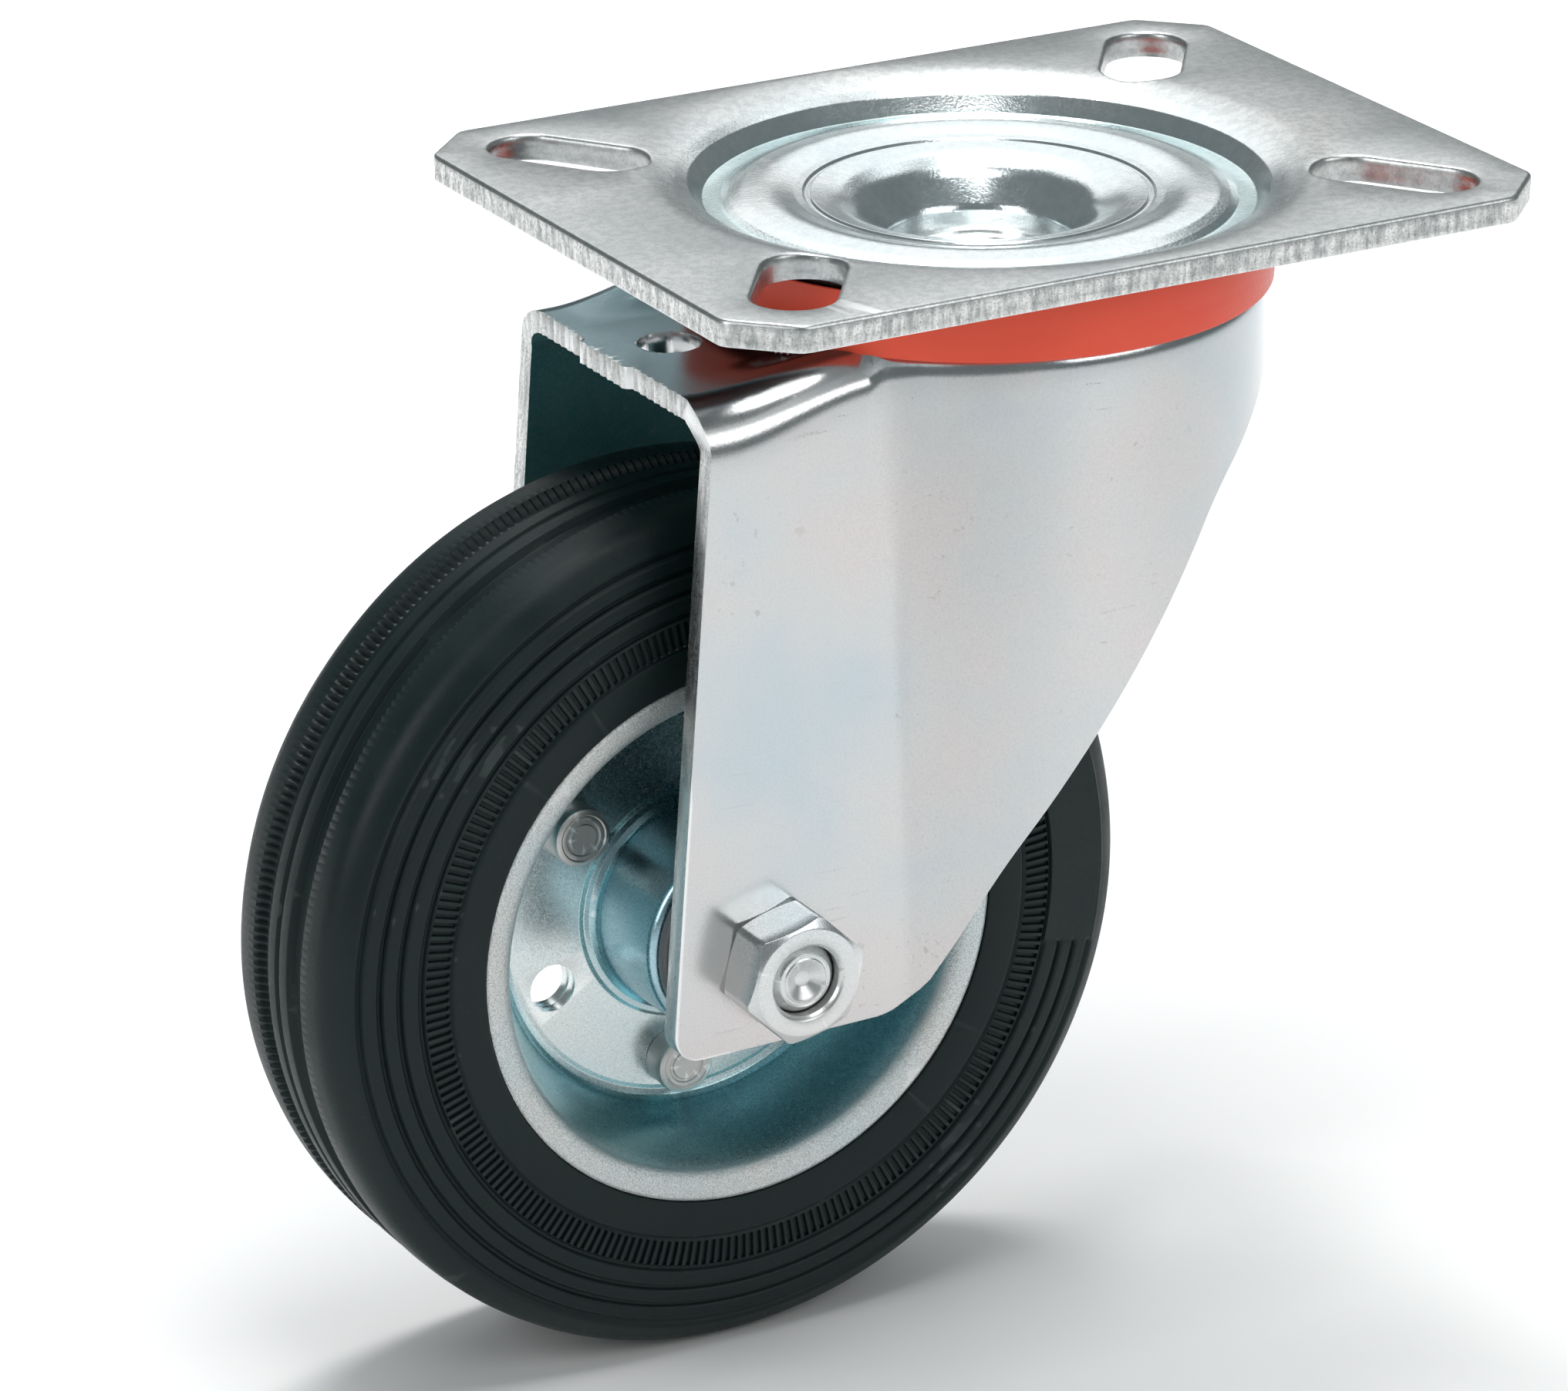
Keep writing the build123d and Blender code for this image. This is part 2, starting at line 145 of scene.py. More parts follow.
def evenly(path, spacing):
    """Points along a closed outline at about this spacing."""
    path = np.vstack([path, path[:1]])
    along = np.concatenate([[0], np.cumsum(np.linalg.norm(np.diff(path, axis=0), axis=1))])
    count = max(3, round(along[-1] / spacing))
    at = np.linspace(0, along[-1], count + 1)[:count]
    return np.column_stack([np.interp(at, along, path[:, k]) for k in range(2)])


def around(count):
    """Evenly spaced angles round a full turn."""
    return np.linspace(0, 2 * math.pi, count, endpoint=False)


def circle(radius, count, x=0.0, y=0.0):
    """Closed circle, anticlockwise."""
    turn = around(count)
    return np.column_stack([x + radius * np.cos(turn), y + radius * np.sin(turn)])


def inward(loop):
    """Unit vectors that point to the left of a closed outline at each of its points."""
    ahead = np.roll(loop, -1, axis=0) - np.roll(loop, 1, axis=0)
    ahead /= np.linalg.norm(ahead, axis=1)[:, None]
    return np.column_stack([-ahead[:, 1], ahead[:, 0]])


# ---- meshes

class Shape:
    """Vertices in millimetres with faces, each face with its material's number."""

    def __init__(self):
        self.points, self.faces, self.paint = [], [], []

    def add(self, points, faces, material=0):
        """Adds a group of points and the faces between them."""
        start = len(self.points)
        self.points.extend(map(tuple, points))
        self.faces.extend(tuple(start + int(k) for k in f) for f in faces)
        self.paint.extend([material] * len(faces))

    def grid(self, points, wrap_rows=False, wrap_around=True, material=0):
        """Adds an array of points with shape (rows, columns, 3) as quads, each row a closed ring."""
        rows, columns = points.shape[:2]
        i, j = np.meshgrid(
            np.arange(rows if wrap_rows else rows - 1),
            np.arange(columns if wrap_around else columns - 1),
            indexing="ij",
        )
        i, j = i.ravel(), j.ravel()
        below, right = (i + 1) % rows, (j + 1) % columns
        quads = np.column_stack([
            i * columns + j, below * columns + j, below * columns + right, i * columns + right,
        ])
        self.add(points.reshape(-1, 3), quads, material)

    def build(self, name, sharp_deg=35, outward=True):
        """The shape as an object whose coincident points are joined."""
        mesh = bpy.data.meshes.new(name)
        mesh.from_pydata([(x * MM, y * MM, z * MM) for x, y, z in self.points], [], self.faces)
        mesh.polygons.foreach_set("material_index", self.paint)
        work = bmesh.new()
        work.from_mesh(mesh)
        bmesh.ops.remove_doubles(work, verts=work.verts, dist=2e-6)
        if outward:
            bmesh.ops.recalc_face_normals(work, faces=work.faces)
        work.to_mesh(mesh)
        work.free()
        shade(mesh, sharp_deg)
        piece = bpy.data.objects.new(name, mesh)
        bpy.context.scene.collection.objects.link(piece)
        return piece


def shade(mesh, sharp_deg):
    """Smooth shading that keeps the sharp edges."""
    mesh.shade_smooth()
    mesh.set_sharp_from_angle(angle=math.radians(sharp_deg))


def turned_z(profile, count):
    """Grid of points made by turning (radius, height) about the swivel axis."""
    turn = around(count)
    r, h = profile[:, 0, None], profile[:, 1, None]
    return np.stack([r * np.cos(turn), r * np.sin(turn), h + 0 * turn], axis=-1)


def turned_y(profile, count, centre=AXLE):
    """Grid of points made by turning (radius, place along the axle) about the axle."""
    turn = around(count)
    r, h = profile[:, 0, None], profile[:, 1, None]
    return np.stack([
        centre[0] + r * np.cos(turn), centre[1] + h + 0 * turn, centre[2] + r * np.sin(turn),
    ], axis=-1)


def lathe(name, grid, closed=True, sharp_deg=35):
    """Solid of revolution from a grid of points."""
    shape = Shape()
    shape.grid(grid, wrap_rows=closed)
    return shape.build(name, sharp_deg)


def capped(tube):
    """Cutter from the two rings of a tube, which get flat ends."""
    shape = Shape()
    shape.grid(tube)
    count = tube.shape[1]
    shape.faces += [tuple(range(count)), tuple(range(count, 2 * count))]
    shape.paint += [0, 0]
    return shape.build("cutter")


def cylinder_y(radius, x, z, low, high, count):
    """Cutter along the axle's direction."""
    return capped(turned_y(np.array([(radius, low), (radius, high)], float), count, (x, 0, z)))


def cylinder_z(radius, x, y, low, high, count):
    """Upright cutter."""
    return capped(turned_z(np.array([(radius, low), (radius, high)], float), count) + np.array([x, y, 0]))


def settle(piece, sharp_deg=35):
    """Applies a piece's modifiers to its mesh."""
    view = bpy.context.evaluated_depsgraph_get()
    mesh = bpy.data.meshes.new_from_object(piece.evaluated_get(view))
    piece.modifiers.clear()
    old, piece.data = piece.data, mesh
    bpy.data.meshes.remove(old)
    shade(mesh, sharp_deg)


def cut(piece, cutters):
    """Takes the cutters' solids out of a piece."""
    for cutter in cutters:
        tool = piece.modifiers.new("cut", "BOOLEAN")
        tool.operation, tool.solver, tool.object = "DIFFERENCE", "EXACT", cutter
    settle(piece)
    for cutter in cutters:
        bpy.data.objects.remove(cutter)


def soften(piece, width_mm, limit_deg=50):
    """Rounds a piece's sharp edges."""
    tool = piece.modifiers.new("soften", "BEVEL")
    tool.width, tool.segments = width_mm * MM, 2
    tool.limit_method, tool.angle_limit = "ANGLE", math.radians(limit_deg)
    tool.use_clamp_overlap = True
    settle(piece, 40)


def finish_piece(piece, body, node, slot, *materials):
    """Gives a piece its materials and its body, and hides the CAD node it stands for. The slot is not used."""
    slots = piece.data.materials
    for k, material in enumerate(materials):
        if k < len(slots):
            slots[k] = material
        else:
            slots.append(material)
    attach(piece, body)
    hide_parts(node)


# ---- materials

class Finish:
    """A procedural material on a Principled shader, in object coordinates (metres in the row frame)."""

    def __init__(self, name, **constants):
        self.material = bpy.data.materials.new(name)
        self.material.use_nodes = True
        self.tree = self.material.node_tree
        self.shader = self.tree.nodes["Principled BSDF"]
        for key, value in constants.items():
            self.shader.inputs[key.replace("_", " ")].default_value = value
        self.place = self.add("ShaderNodeTexCoord").outputs["Object"]

    def add(self, kind, settings=None, **inputs):
        """A node; each input is a number, colour or another node's output."""
        node = self.tree.nodes.new(kind)
        for key, value in (settings or {}).items():
            setattr(node, key, value)
        for key, value in inputs.items():
            socket = node.inputs[int(key[1:])] if key[0] == "i" and key[1:].isdigit() else node.inputs[key]
            self.put(value, socket)
        return node

    def put(self, value, socket):
        """Links or sets one input."""
        if isinstance(value, bpy.types.NodeSocket):
            self.tree.links.new(value, socket)
        else:
            socket.default_value = value

    def stretched(self, x, y, z, turn=(0, 0, 0)):
        """The object's coordinates, scaled on each axis."""
        node = self.add("ShaderNodeMapping", Vector=self.place, Scale=(x, y, z), Rotation=turn)
        return node.outputs[0]

    def noise(self, scale, detail=3, rough=0.5, at=None, distortion=0.0):
        """Cloudy noise from 0 to 1."""
        node = self.add(
            "ShaderNodeTexNoise", Vector=at or self.place, Scale=scale, Detail=detail,
            Roughness=rough, Distortion=distortion,
        )
        return node.outputs["Fac"]

    def math(self, operation, a, b=0.0, clamp=False):
        """Arithmetic on two values."""
        node = self.add("ShaderNodeMath", {"operation": operation, "use_clamp": clamp}, i0=a, i1=b)
        return node.outputs[0]

    def times(self, a, b, clamp=False):
        """Product of two values."""
        return self.math("MULTIPLY", a, b, clamp)

    def plus(self, a, b, clamp=False):
        """Sum of two values."""
        return self.math("ADD", a, b, clamp)

    def between(self, value, low, high, to_low=0.0, to_high=1.0):
        """A value moved from one range to another and held inside it."""
        node = self.add(
            "ShaderNodeMapRange", {"interpolation_type": "SMOOTHSTEP"},
            i0=value, i1=low, i2=high, i3=to_low, i4=to_high,
        )
        return node.outputs[0]

    def ramp(self, value, stops):
        """Colour along a value from (place, colour) stops."""
        node = self.add("ShaderNodeValToRGB", Fac=value)
        points = node.color_ramp.elements
        while len(points) < len(stops):
            points.new(0.5)
        for point, (place, colour) in zip(points, stops):
            point.position, point.color = place, (*colour, 1)
        return node.outputs["Color"]

    def mix(self, amount, a, b, kind="MIX"):
        """Two colours mixed by an amount."""
        node = self.add("ShaderNodeMix", {"data_type": "RGBA", "blend_type": kind}, i0=amount)
        for value, socket in ((a, node.inputs[6]), (b, node.inputs[7])):
            self.put((*value, 1) if isinstance(value, tuple) else value, socket)
        return node.outputs[2]

    def coat(self, colour, mask, share, paint):
        """A colour painted over where a mask says, by at most a share."""
        return self.mix(self.times(mask, share), colour, paint)

    def varied(self, roughness, grain):
        """Roughness that goes a little up and down with a fine grain."""
        return self.plus(roughness, self.between(grain, 0.3, 0.7, -0.03, 0.05))

    def blend(self, amount, a, b):
        """Two values mixed by an amount."""
        node = self.add("ShaderNodeMix", {"data_type": "FLOAT"}, i0=amount, i2=a, i3=b)
        return node.outputs[0]

    def bump(self, height, depth_mm, strength=1.0, under=None):
        """Fine relief of about this depth."""
        node = self.add("ShaderNodeBump", Strength=strength, Distance=depth_mm * MM, Height=height)
        if under is not None:
            self.tree.links.new(under, node.inputs["Normal"])
        return node.outputs[0]

    def edges(self, low=0.52, high=0.6):
        """1 on convex edges, 0 elsewhere."""
        point = self.add("ShaderNodeNewGeometry").outputs["Pointiness"]
        return self.between(point, low, high)

    def hollows(self):
        """1 in concave creases, 0 elsewhere; zinc uses it to paint shade into them."""
        point = self.add("ShaderNodeNewGeometry").outputs["Pointiness"]
        return self.between(point, 0.4, 0.49, 1.0, 0.0)

    def level(self):
        """1 where the surface lies level and faces up."""
        part = self.add("ShaderNodeSeparateXYZ", Vector=self.add("ShaderNodeNewGeometry").outputs["Normal"])
        return self.between(part.outputs[2], 0.93, 0.985)

    def radius(self, first, second, centre=(0.0, 0.0)):
        """Distance in millimetres from the centre in the plane of two axes, given by their numbers."""
        part = self.add("ShaderNodeSeparateXYZ", Vector=self.place)
        a = self.math("SUBTRACT", part.outputs[first], float(centre[0] * MM))
        b = self.math("SUBTRACT", part.outputs[second], float(centre[1] * MM))
        square = self.plus(self.times(a, a), self.times(b, b))
        return self.times(self.math("SQRT", square), 1 / MM)

    def done(self, colour, roughness, normal):
        """Links the results to the shader and returns the material."""
        self.tree.links.new(colour, self.shader.inputs["Base Color"])
        self.tree.links.new(roughness, self.shader.inputs["Roughness"])
        self.tree.links.new(normal, self.shader.inputs["Normal"])
        return self.material


def scratches(look, amount=0.5):
    """Sparse thin scratches in two directions, 1 in a scratch."""
    masks = []
    for scale, turn, patch_scale in ((60, (0.3, 0.2, 0.5), 90), (80, (1.2, 0.7, -0.4), 120)):
        at = look.stretched(scale, scale * 45, scale * 20, turn)
        line = look.between(look.noise(1.0, 1, 0.5, at), 0.70, 0.74)
        patch = look.between(look.noise(patch_scale, 1), 0.5, 0.62)
        masks.append(look.times(line, patch))
    return look.times(look.math("MAXIMUM", *masks), amount, True)


def zinc(name, tints, rough, grain_mm=0.3, grain_depth=0.012, grit=0.16, metallic=1.0, painted_dark_reflection=0.0):
    """Zinc plate: cloudy tint, fine grain, dull spots, scratches, brighter edges, painted shade in creases and a
    painted dark reflection on level faces.
    """
    look = Finish(name, Metallic=metallic)
    cloud = look.noise(38, 3, 0.55)
    colour = look.ramp(cloud, [(0.30, tints[0]), (0.48, tints[1]), (0.62, tints[2])])
    grain = look.noise(1 / (grain_mm * MM), 3, 0.6)
    colour = look.mix(look.between(grain, 0.35, 0.75, 0.0, grit), colour, (0.36, 0.38, 0.39))
    # Painted reflection and shade: level, up-facing faces get a dark teal coat that stands in for the plate's dark
    # underside reflected in them.
    colour = look.coat(colour, look.level(), painted_dark_reflection, (0.11, 0.22, 0.25))
    spots = look.between(look.noise(700, 2, 0.6), 0.66, 0.72)
    spots = look.times(spots, look.between(look.noise(60, 2), 0.5, 0.6))
    colour = look.coat(colour, spots, 0.45, (0.35, 0.35, 0.34))
    lines = scratches(look)
    colour = look.coat(colour, lines, 0.4, (0.5, 0.5, 0.5))
    colour = look.coat(colour, look.edges(), 0.7, (0.93, 0.94, 0.94))
    # Painted shade: concave creases are darkened.
    colour = look.coat(colour, look.hollows(), 0.35, (0.32, 0.34, 0.35))
    roughness = look.varied(look.between(cloud, 0.3, 0.7, rough - 0.04, rough + 0.06), grain)
    roughness = look.plus(roughness, look.times(lines, 0.15), True)
    normal = look.bump(grain, grain_depth)
    return look.done(colour, roughness, look.bump(lines, 0.01, 0.6, normal))


def plate_zinc(name):
    """Plate: matt mottled rim, polished bluish dish with turquoise in its groove."""
    groove = 29.4
    look = Finish(name, Metallic=1.0)
    radius = look.radius(0, 1)
    cloud = look.noise(38, 3, 0.55)
    flat = look.ramp(cloud, [
        (0.30, (0.45, 0.475, 0.485)), (0.5, (0.54, 0.55, 0.55)), (0.66, (0.64, 0.64, 0.63)),
    ])
    dish = look.ramp(cloud, [(0.35, (0.74, 0.82, 0.84)), (0.62, (0.84, 0.88, 0.88))])
    outside = look.between(radius, 31.5, 37.5)
    colour = look.mix(outside, dish, flat)
    away = look.math("ABSOLUTE", look.math("SUBTRACT", radius, groove))
    colour = look.coat(colour, look.between(away, 0.6, 1.8, 1.0, 0.0), 0.5, (0.50, 0.72, 0.72))
    grain = look.noise(3000, 3, 0.65)
    both = look.times(look.plus(grain, look.noise(900, 2, 0.5)), 0.5)
    grit = look.times(look.between(both, 0.43, 0.58, 0.0, 0.52), look.blend(outside, 0.25, 1.0))
    colour = look.mix(grit, colour, (0.33, 0.35, 0.35))
    colour = look.coat(colour, scratches(look), 0.5, (0.40, 0.41, 0.41))
    colour = look.coat(colour, look.edges(), 0.7, (0.93, 0.94, 0.94))
    normal = look.bump(look.noise(180, 2), 0.05, 0.6, look.bump(grain, 0.022))
    return look.done(colour, look.varied(look.blend(outside, 0.17, 0.31), grain), normal)


def sheared(name):
    """Sheared edge of plated sheet: streaks through the thickness and a grainy fracture."""
    look = Finish(name, Metallic=1.0)
    streak = look.noise(1.0, 3, 0.6, look.stretched(1500, 1500, 300))
    grain = look.noise(3500, 3, 0.65)
    colour = look.ramp(streak, [
        (0.34, (0.40, 0.415, 0.42)), (0.5, (0.62, 0.63, 0.62)), (0.66, (0.86, 0.86, 0.85)),
    ])
    colour = look.mix(look.between(grain, 0.5, 0.66, 0.0, 0.5), colour, (0.20, 0.205, 0.205))
    colour = look.mix(look.edges(), colour, (0.92, 0.93, 0.93))
    roughness = look.between(grain, 0.3, 0.7, 0.26, 0.5)
    return look.done(colour, roughness, look.bump(grain, 0.05, 0.8, look.bump(streak, 0.06, 0.8)))


def rim_metal(name):
    """Passivated rim: matt grainy flange, teal barrel, bright web, blue collar."""
    look = Finish(name, Metallic=1.0)
    radius = look.radius(0, 2, (AXLE[0], AXLE[2]))
    reach = 34
    bands = look.ramp(look.times(radius, 1 / reach), [
        (place / reach, colour) for place, colour in (
            (10.5, (0.36, 0.56, 0.66)), (12.6, (0.48, 0.66, 0.72)), (14.2, (0.80, 0.85, 0.86)),
            (22.4, (0.80, 0.85, 0.86)), (24.0, (0.22, 0.50, 0.56)), (27.2, (0.34, 0.60, 0.64)),
            (28.5, (0.84, 0.85, 0.85)),
        )
    ])
    tint = look.ramp(look.noise(60, 3, 0.5), [(0.35, (0.90, 0.98, 1.0)), (0.6, (1.0, 1.0, 0.98))])
    colour = look.mix(1.0, bands, tint, "MULTIPLY")
    flange = look.between(radius, 27.6, 28.8)
    sand = look.noise(5200, 2, 0.7)
    grit = look.times(look.between(sand, 0.42, 0.62), look.blend(flange, 0.22, 0.55))
    colour = look.mix(grit, colour, (0.36, 0.385, 0.39))
    colour = look.coat(colour, look.edges(), 0.5, (0.92, 0.94, 0.94))
    roughness = look.between(look.noise(4200, 2, 0.6), 0.3, 0.7, 0.20, 0.30)
    roughness = look.plus(roughness, look.times(flange, 0.24))
    roughness = look.plus(roughness, look.times(scratches(look, 0.4), 0.1), True)
    relief = look.times(sand, look.blend(flange, 0.08, 1.0))
    return look.done(colour, roughness, look.bump(relief, 0.12))


def rubber(name):
    """Moulded rubber: dark green-grey, dusty on its ridges, finely pitted."""
    look = Finish(name, Metallic=0.0, Specular_IOR_Level=0.26)
    cloud = look.noise(70, 3, 0.6)
    colour = look.ramp(cloud, [(0.35, (0.0045, 0.0125, 0.0130)), (0.65, (0.0070, 0.0165, 0.0170))])
    patches = look.between(look.noise(160, 2), 0.35, 0.65, 0.15, 0.6)
    colour = look.mix(look.times(look.edges(0.52, 0.64), patches), colour, (0.055, 0.070, 0.070))
    specks = look.between(look.noise(2600, 2, 0.7), 0.69, 0.75)
    colour = look.coat(colour, specks, 0.25, (0.08, 0.085, 0.085))
    fine = look.noise(2400, 3, 0.6)
    roughness = look.varied(look.between(cloud, 0.3, 0.7, 0.40, 0.52), fine)
    normal = look.bump(look.noise(110, 2), 0.10, 0.5, look.bump(fine, 0.015))
    return look.done(colour, roughness, normal)


def plastic(name, light, dark, rough=0.36):
    """Moulded plastic with a faint flow pattern and a fine satin skin."""
    look = Finish(name, Metallic=0.0)
    colour = look.ramp(look.noise(45, 2, 0.5, distortion=0.6), [(0.3, dark), (0.7, light)])
    worn = tuple(min(1, c * 1.35 + 0.02) for c in light)
    colour = look.coat(colour, look.edges(), 0.25, worn)
    skin = look.noise(2200, 2, 0.5)
    roughness = look.between(skin, 0.3, 0.7, rough - 0.04, rough + 0.06)
    roughness = look.plus(roughness, look.times(scratches(look, 0.4), 0.2), True)
    return look.done(colour, roughness, look.bump(skin, 0.008))


def polished(name, colour_a, colour_b, rough):
    """Hardened or turned steel with oil stains and a very fine grain."""
    look = Finish(name, Metallic=1.0)
    colour = look.ramp(look.noise(120, 3, 0.55), [(0.35, colour_a), (0.65, colour_b)])
    stain = look.between(look.noise(400, 3), 0.6, 0.75, 0.0, 0.35)
    colour = look.mix(stain, colour, (0.34, 0.32, 0.29))
    fine = look.noise(3000, 2)
    roughness = look.between(fine, 0.3, 0.7, rough - 0.03, rough + 0.06)
    roughness = look.plus(roughness, look.times(stain, 0.3), True)
    return look.done(colour, roughness, look.bump(fine, 0.004))


# ---- top plate

def slot_outline(sign_x, sign_y):
    """Slanted slot between the outer and the inner bolt places."""
    (outer, radius), (inner, _) = bolt_places("outer_bolts"), bolt_places("inner_bolts")
    sign = np.array([sign_x, sign_y])
    outer, inner = outer * sign, inner * sign
    ahead = (outer - inner) / np.linalg.norm(outer - inner)
    first = math.atan2(ahead[1], ahead[0])
    arcs = []
    for centre, start in ((outer, first - math.pi / 2), (inner, first + math.pi / 2)):
        turn = start + np.linspace(0, math.pi, 28)
        arcs.append(centre + radius * np.column_stack([np.cos(turn), np.sin(turn)]))
    return evenly(np.vstack(arcs), 0.55)


def plate_outline():
    """Rectangle with its corners cut off and softened."""
    x, y = PLATE_HIGH[:2]
    chamfer, soft = 6.4, 2.0
    quarter = [(x, y - chamfer, soft), (x - chamfer, y, soft)]
    left = [(-a, b, r) for a, b, r in reversed(quarter)]
    return evenly(rounded(quarter + left + [(-a, -b, r) for a, b, r in quarter + left], 6), 0.7)


def sheared_wall(loop, roll, jitter, seed):
    """Side of punched sheet: a rolled top edge, a smooth band, then a rough fracture to the burr."""
    rng = np.random.default_rng(seed)
    inside = inward(loop)
    profile = [
        (roll, 0.0), (roll * 0.55, -0.06), (roll * 0.22, -0.2), (0.03, -0.48), (0.0, -1.1),
        (0.06, -1.45), (0.08, -2.2), (0.06, -2.85), (0.16, -PLATE_SHEET),
    ]
    rough = [0, 0, 0, 0, 0.3, 1, 1, 0.8, 0]
    rows = []
    for (inset, height), share in zip(profile, rough):
        noise = rng.normal(0, jitter, len(loop)) * share
        edge = loop + inside * (inset + np.abs(noise))[:, None]
        rows.append(np.column_stack([edge, np.full(len(loop), height)]))
    return np.array(rows)


def sheet_faces(outer, holes, guides):
    """Triangles between an outline and the holes in it, with edges along the guide loops."""
    loops = [outer, *holes, *guides]
    points = [Vector(p) for loop in loops for p in loop]
    edges, start = [], 0
    for loop in loops:
        n = len(loop)
        edges += [(start + k, start + (k + 1) % n) for k in range(n)]
        start += n
    found = delaunay_2d_cdt(points, edges, [], 0, 1e-7)
    flat, faces = np.array([tuple(p) for p in found[0]]), found[2]
    middles = np.array([flat[list(f)].mean(axis=0) for f in faces])
    keep = inside_of(outer, middles)
    for hole in holes:
        keep &= ~inside_of(hole, middles)
    return flat, [f for f, ok in zip(faces, keep) if ok]


def inside_of(loop, points):
    """Which points lie inside a closed outline."""
    a, b = loop, np.roll(loop, -1, axis=0)
    x, y = points[:, 0, None], points[:, 1, None]
    crosses = (a[:, 1] > y) != (b[:, 1] > y)
    rise = np.where(b[:, 1] == a[:, 1], 1e-12, b[:, 1] - a[:, 1])
    at = (b[:, 0] - a[:, 0]) * (y - a[:, 1]) / rise + a[:, 0]
    return (crosses & (x < at)).sum(axis=1) % 2 == 1


def dish_top():
    """Section of the plate's top from the flat rim to the funnel's bore."""
    return rounded([
        (DISH_RADIUS, 0), (37.7, 0), (36.4, -0.1, 5), (33.7, -0.95, 8), (32.0, -1.75, 0.8),
        (30.5, -3.7, 0.35), (29.6, -3.72), (28.5, -3.7, 1.0), (27.6, -3.2, 0.8), (26.2, -2.65, 3),
        (23.2, -2.3, 6), (20.4, -3.05, 2), (19.45, -3.12, 0.12), (19.2, -3.42, 0.1), (18.8, -3.42, 0.1),
        (18.55, -3.14, 0.12), (16.0, -3.55, 6), (13.2, -4.9, 5), (10.3, -8.4, 2),
        (9.9, PIN_FLOOR, 0.3), (6.05, PIN_FLOOR),
    ], 7, closed=False)


def dish_under():
    """Section of the plate's underside, with the groove of the upper balls."""
    track = [
        (UPPER_TRACK + UPPER_GROOVE * math.cos(a), UPPER_TRACK_HEIGHT + UPPER_GROOVE * math.sin(a))
        for a in np.radians(np.linspace(140, 40, 12))
    ]
    return rounded([
        (6.05, -14.0), (12.6, -14.0, 1.0), (12.8, -9.4, 3), (16.4, -6.35, 3), *track,
        (31.3, -6.45, 1.5), (33.6, -3.2, 3), (35.8, -PLATE_SHEET), (DISH_RADIUS, -PLATE_SHEET),
    ], 6, closed=False)


def dished(r):
    """Height of the plate's top at a radius near the dish's edge."""
    section = dish_top()[::-1]
    return np.interp(r, section[:, 0], section[:, 1])


def top_plate(metal, edge, under):
    """Pressed plate: flat rim with four slots round a drawn dish."""
    shape = Shape()
    count = 256
    top_ring, under_ring = 35.4, 35.8
    outline = plate_outline()
    slots = [slot_outline(sx, sy) for sx in (-1, 1) for sy in (-1, 1)]
    walls = [sheared_wall(outline, 0.55, 0.05, 1)]
    walls += [sheared_wall(slot[::-1], 0.6, 0.04, 2 + k) for k, slot in enumerate(slots)]
    for level, hole, guides in ((0, top_ring, (36.2, 37.0, DISH_RADIUS)), (-1, under_ring, ())):
        holes = [w[level][:, :2] for w in walls[1:]] + [circle(hole, count)]
        flat, faces = sheet_faces(walls[0][level][:, :2], holes, [circle(g, count) for g in guides])
        height = np.full(len(flat), -PLATE_SHEET) if level else dished(np.hypot(flat[:, 0], flat[:, 1]))
        # Material 2 on the underside is the darker zinc that paints shade under the plate.
        shape.add(np.column_stack([flat, height]), faces, 2 if level else 0)
    for k, wall in enumerate(walls):
        wall[:3, :, 2] += dished(np.hypot(wall[:3, :, 0], wall[:3, :, 1]))
        shape.grid(wall[:4])
        shape.grid(wall[3:], material=0 if k else 1)
    top, below = dish_top(), dish_under()
    top = np.vstack([[top_ring, dished(top_ring)], top[top[:, 0] < top_ring]])
    below = np.vstack([below[below[:, 0] < under_ring], [under_ring, -PLATE_SHEET]])
    shape.grid(turned_z(np.vstack([top, below[:1]]), count))
    # The dish's underside also takes material 2, the painted-shade zinc.
    shape.grid(turned_z(below, count), material=2)
    piece = shape.build("plate_pressing", 42)
    finish_piece(piece, "plate", "top_plate", "plate_zinc", metal, edge, under)


def king_pin(metal):
    """Rivet whose head sits in the funnel, its face hammered and marked by the tool."""
    floor, under, count = PIN_FLOOR, PIN_UNDER, 128
    profile = rounded([
        (0, floor + 0.62), (2.5, floor + 0.66), (5.2, floor + 0.72), (5.45, floor + 0.72, 0.1),
        (5.75, floor + 1.06, 0.1), (6.3, floor + 1.16), (8.5, floor + 1.0, 0.5), (9.1, floor + 0.02),
        (6.0, floor), (6.0, under), (9.8, under, 0.5), (8.4, under - 2.4, 1.5), (0, under - 2.4),
    ], 5, closed=False)
    grid, turn = turned_z(profile, count), around(count)
    head = profile[:, 1] > floor + 0.5
    grid[head, :, 2] += 0.05 * np.sin(3 * turn + 0.4) + 0.03 * np.sin(7 * turn)
    finish_piece(lathe("pin_rivet", grid, closed=False), "plate", "king_pin", "pin_zinc", metal)


# ---- fork

def leg_outline():
    """Side outline of a leg in the XZ plane: rear edge down, then the bottom and the raked front."""
    bottom = FORK_LOW[2]
    path = rounded([
        (CROWN_REAR, CROWN_TOP), (CROWN_REAR, -15.7), (-45.5, -19.0, 6), (FORK_LOW[0], bottom, 3.2),
        (-21.5, bottom + 0.4, 7), (-13.2, -71.0, 60), (13.2, -31.5, 24), (26.5, -20.6, 12), (40.0, -19.0),
    ], 12, closed=False)
    lowest_rear = np.argmin(path[:, 0] + path[:, 1])
    return path[: lowest_rear + 1], path[lowest_rear:]


def valley_radius(z):
    """Radius of the crease between leg and head: wide under the head, tight lower down."""
    return 9.5 - 6.5 * smooth((-18 - z) / 24)


def head_radius(z):
    """The drawn skirt tapers a little towards its lower edge."""
    return HEAD_RADIUS - 1.0 * smooth((-38 - z) / 45)


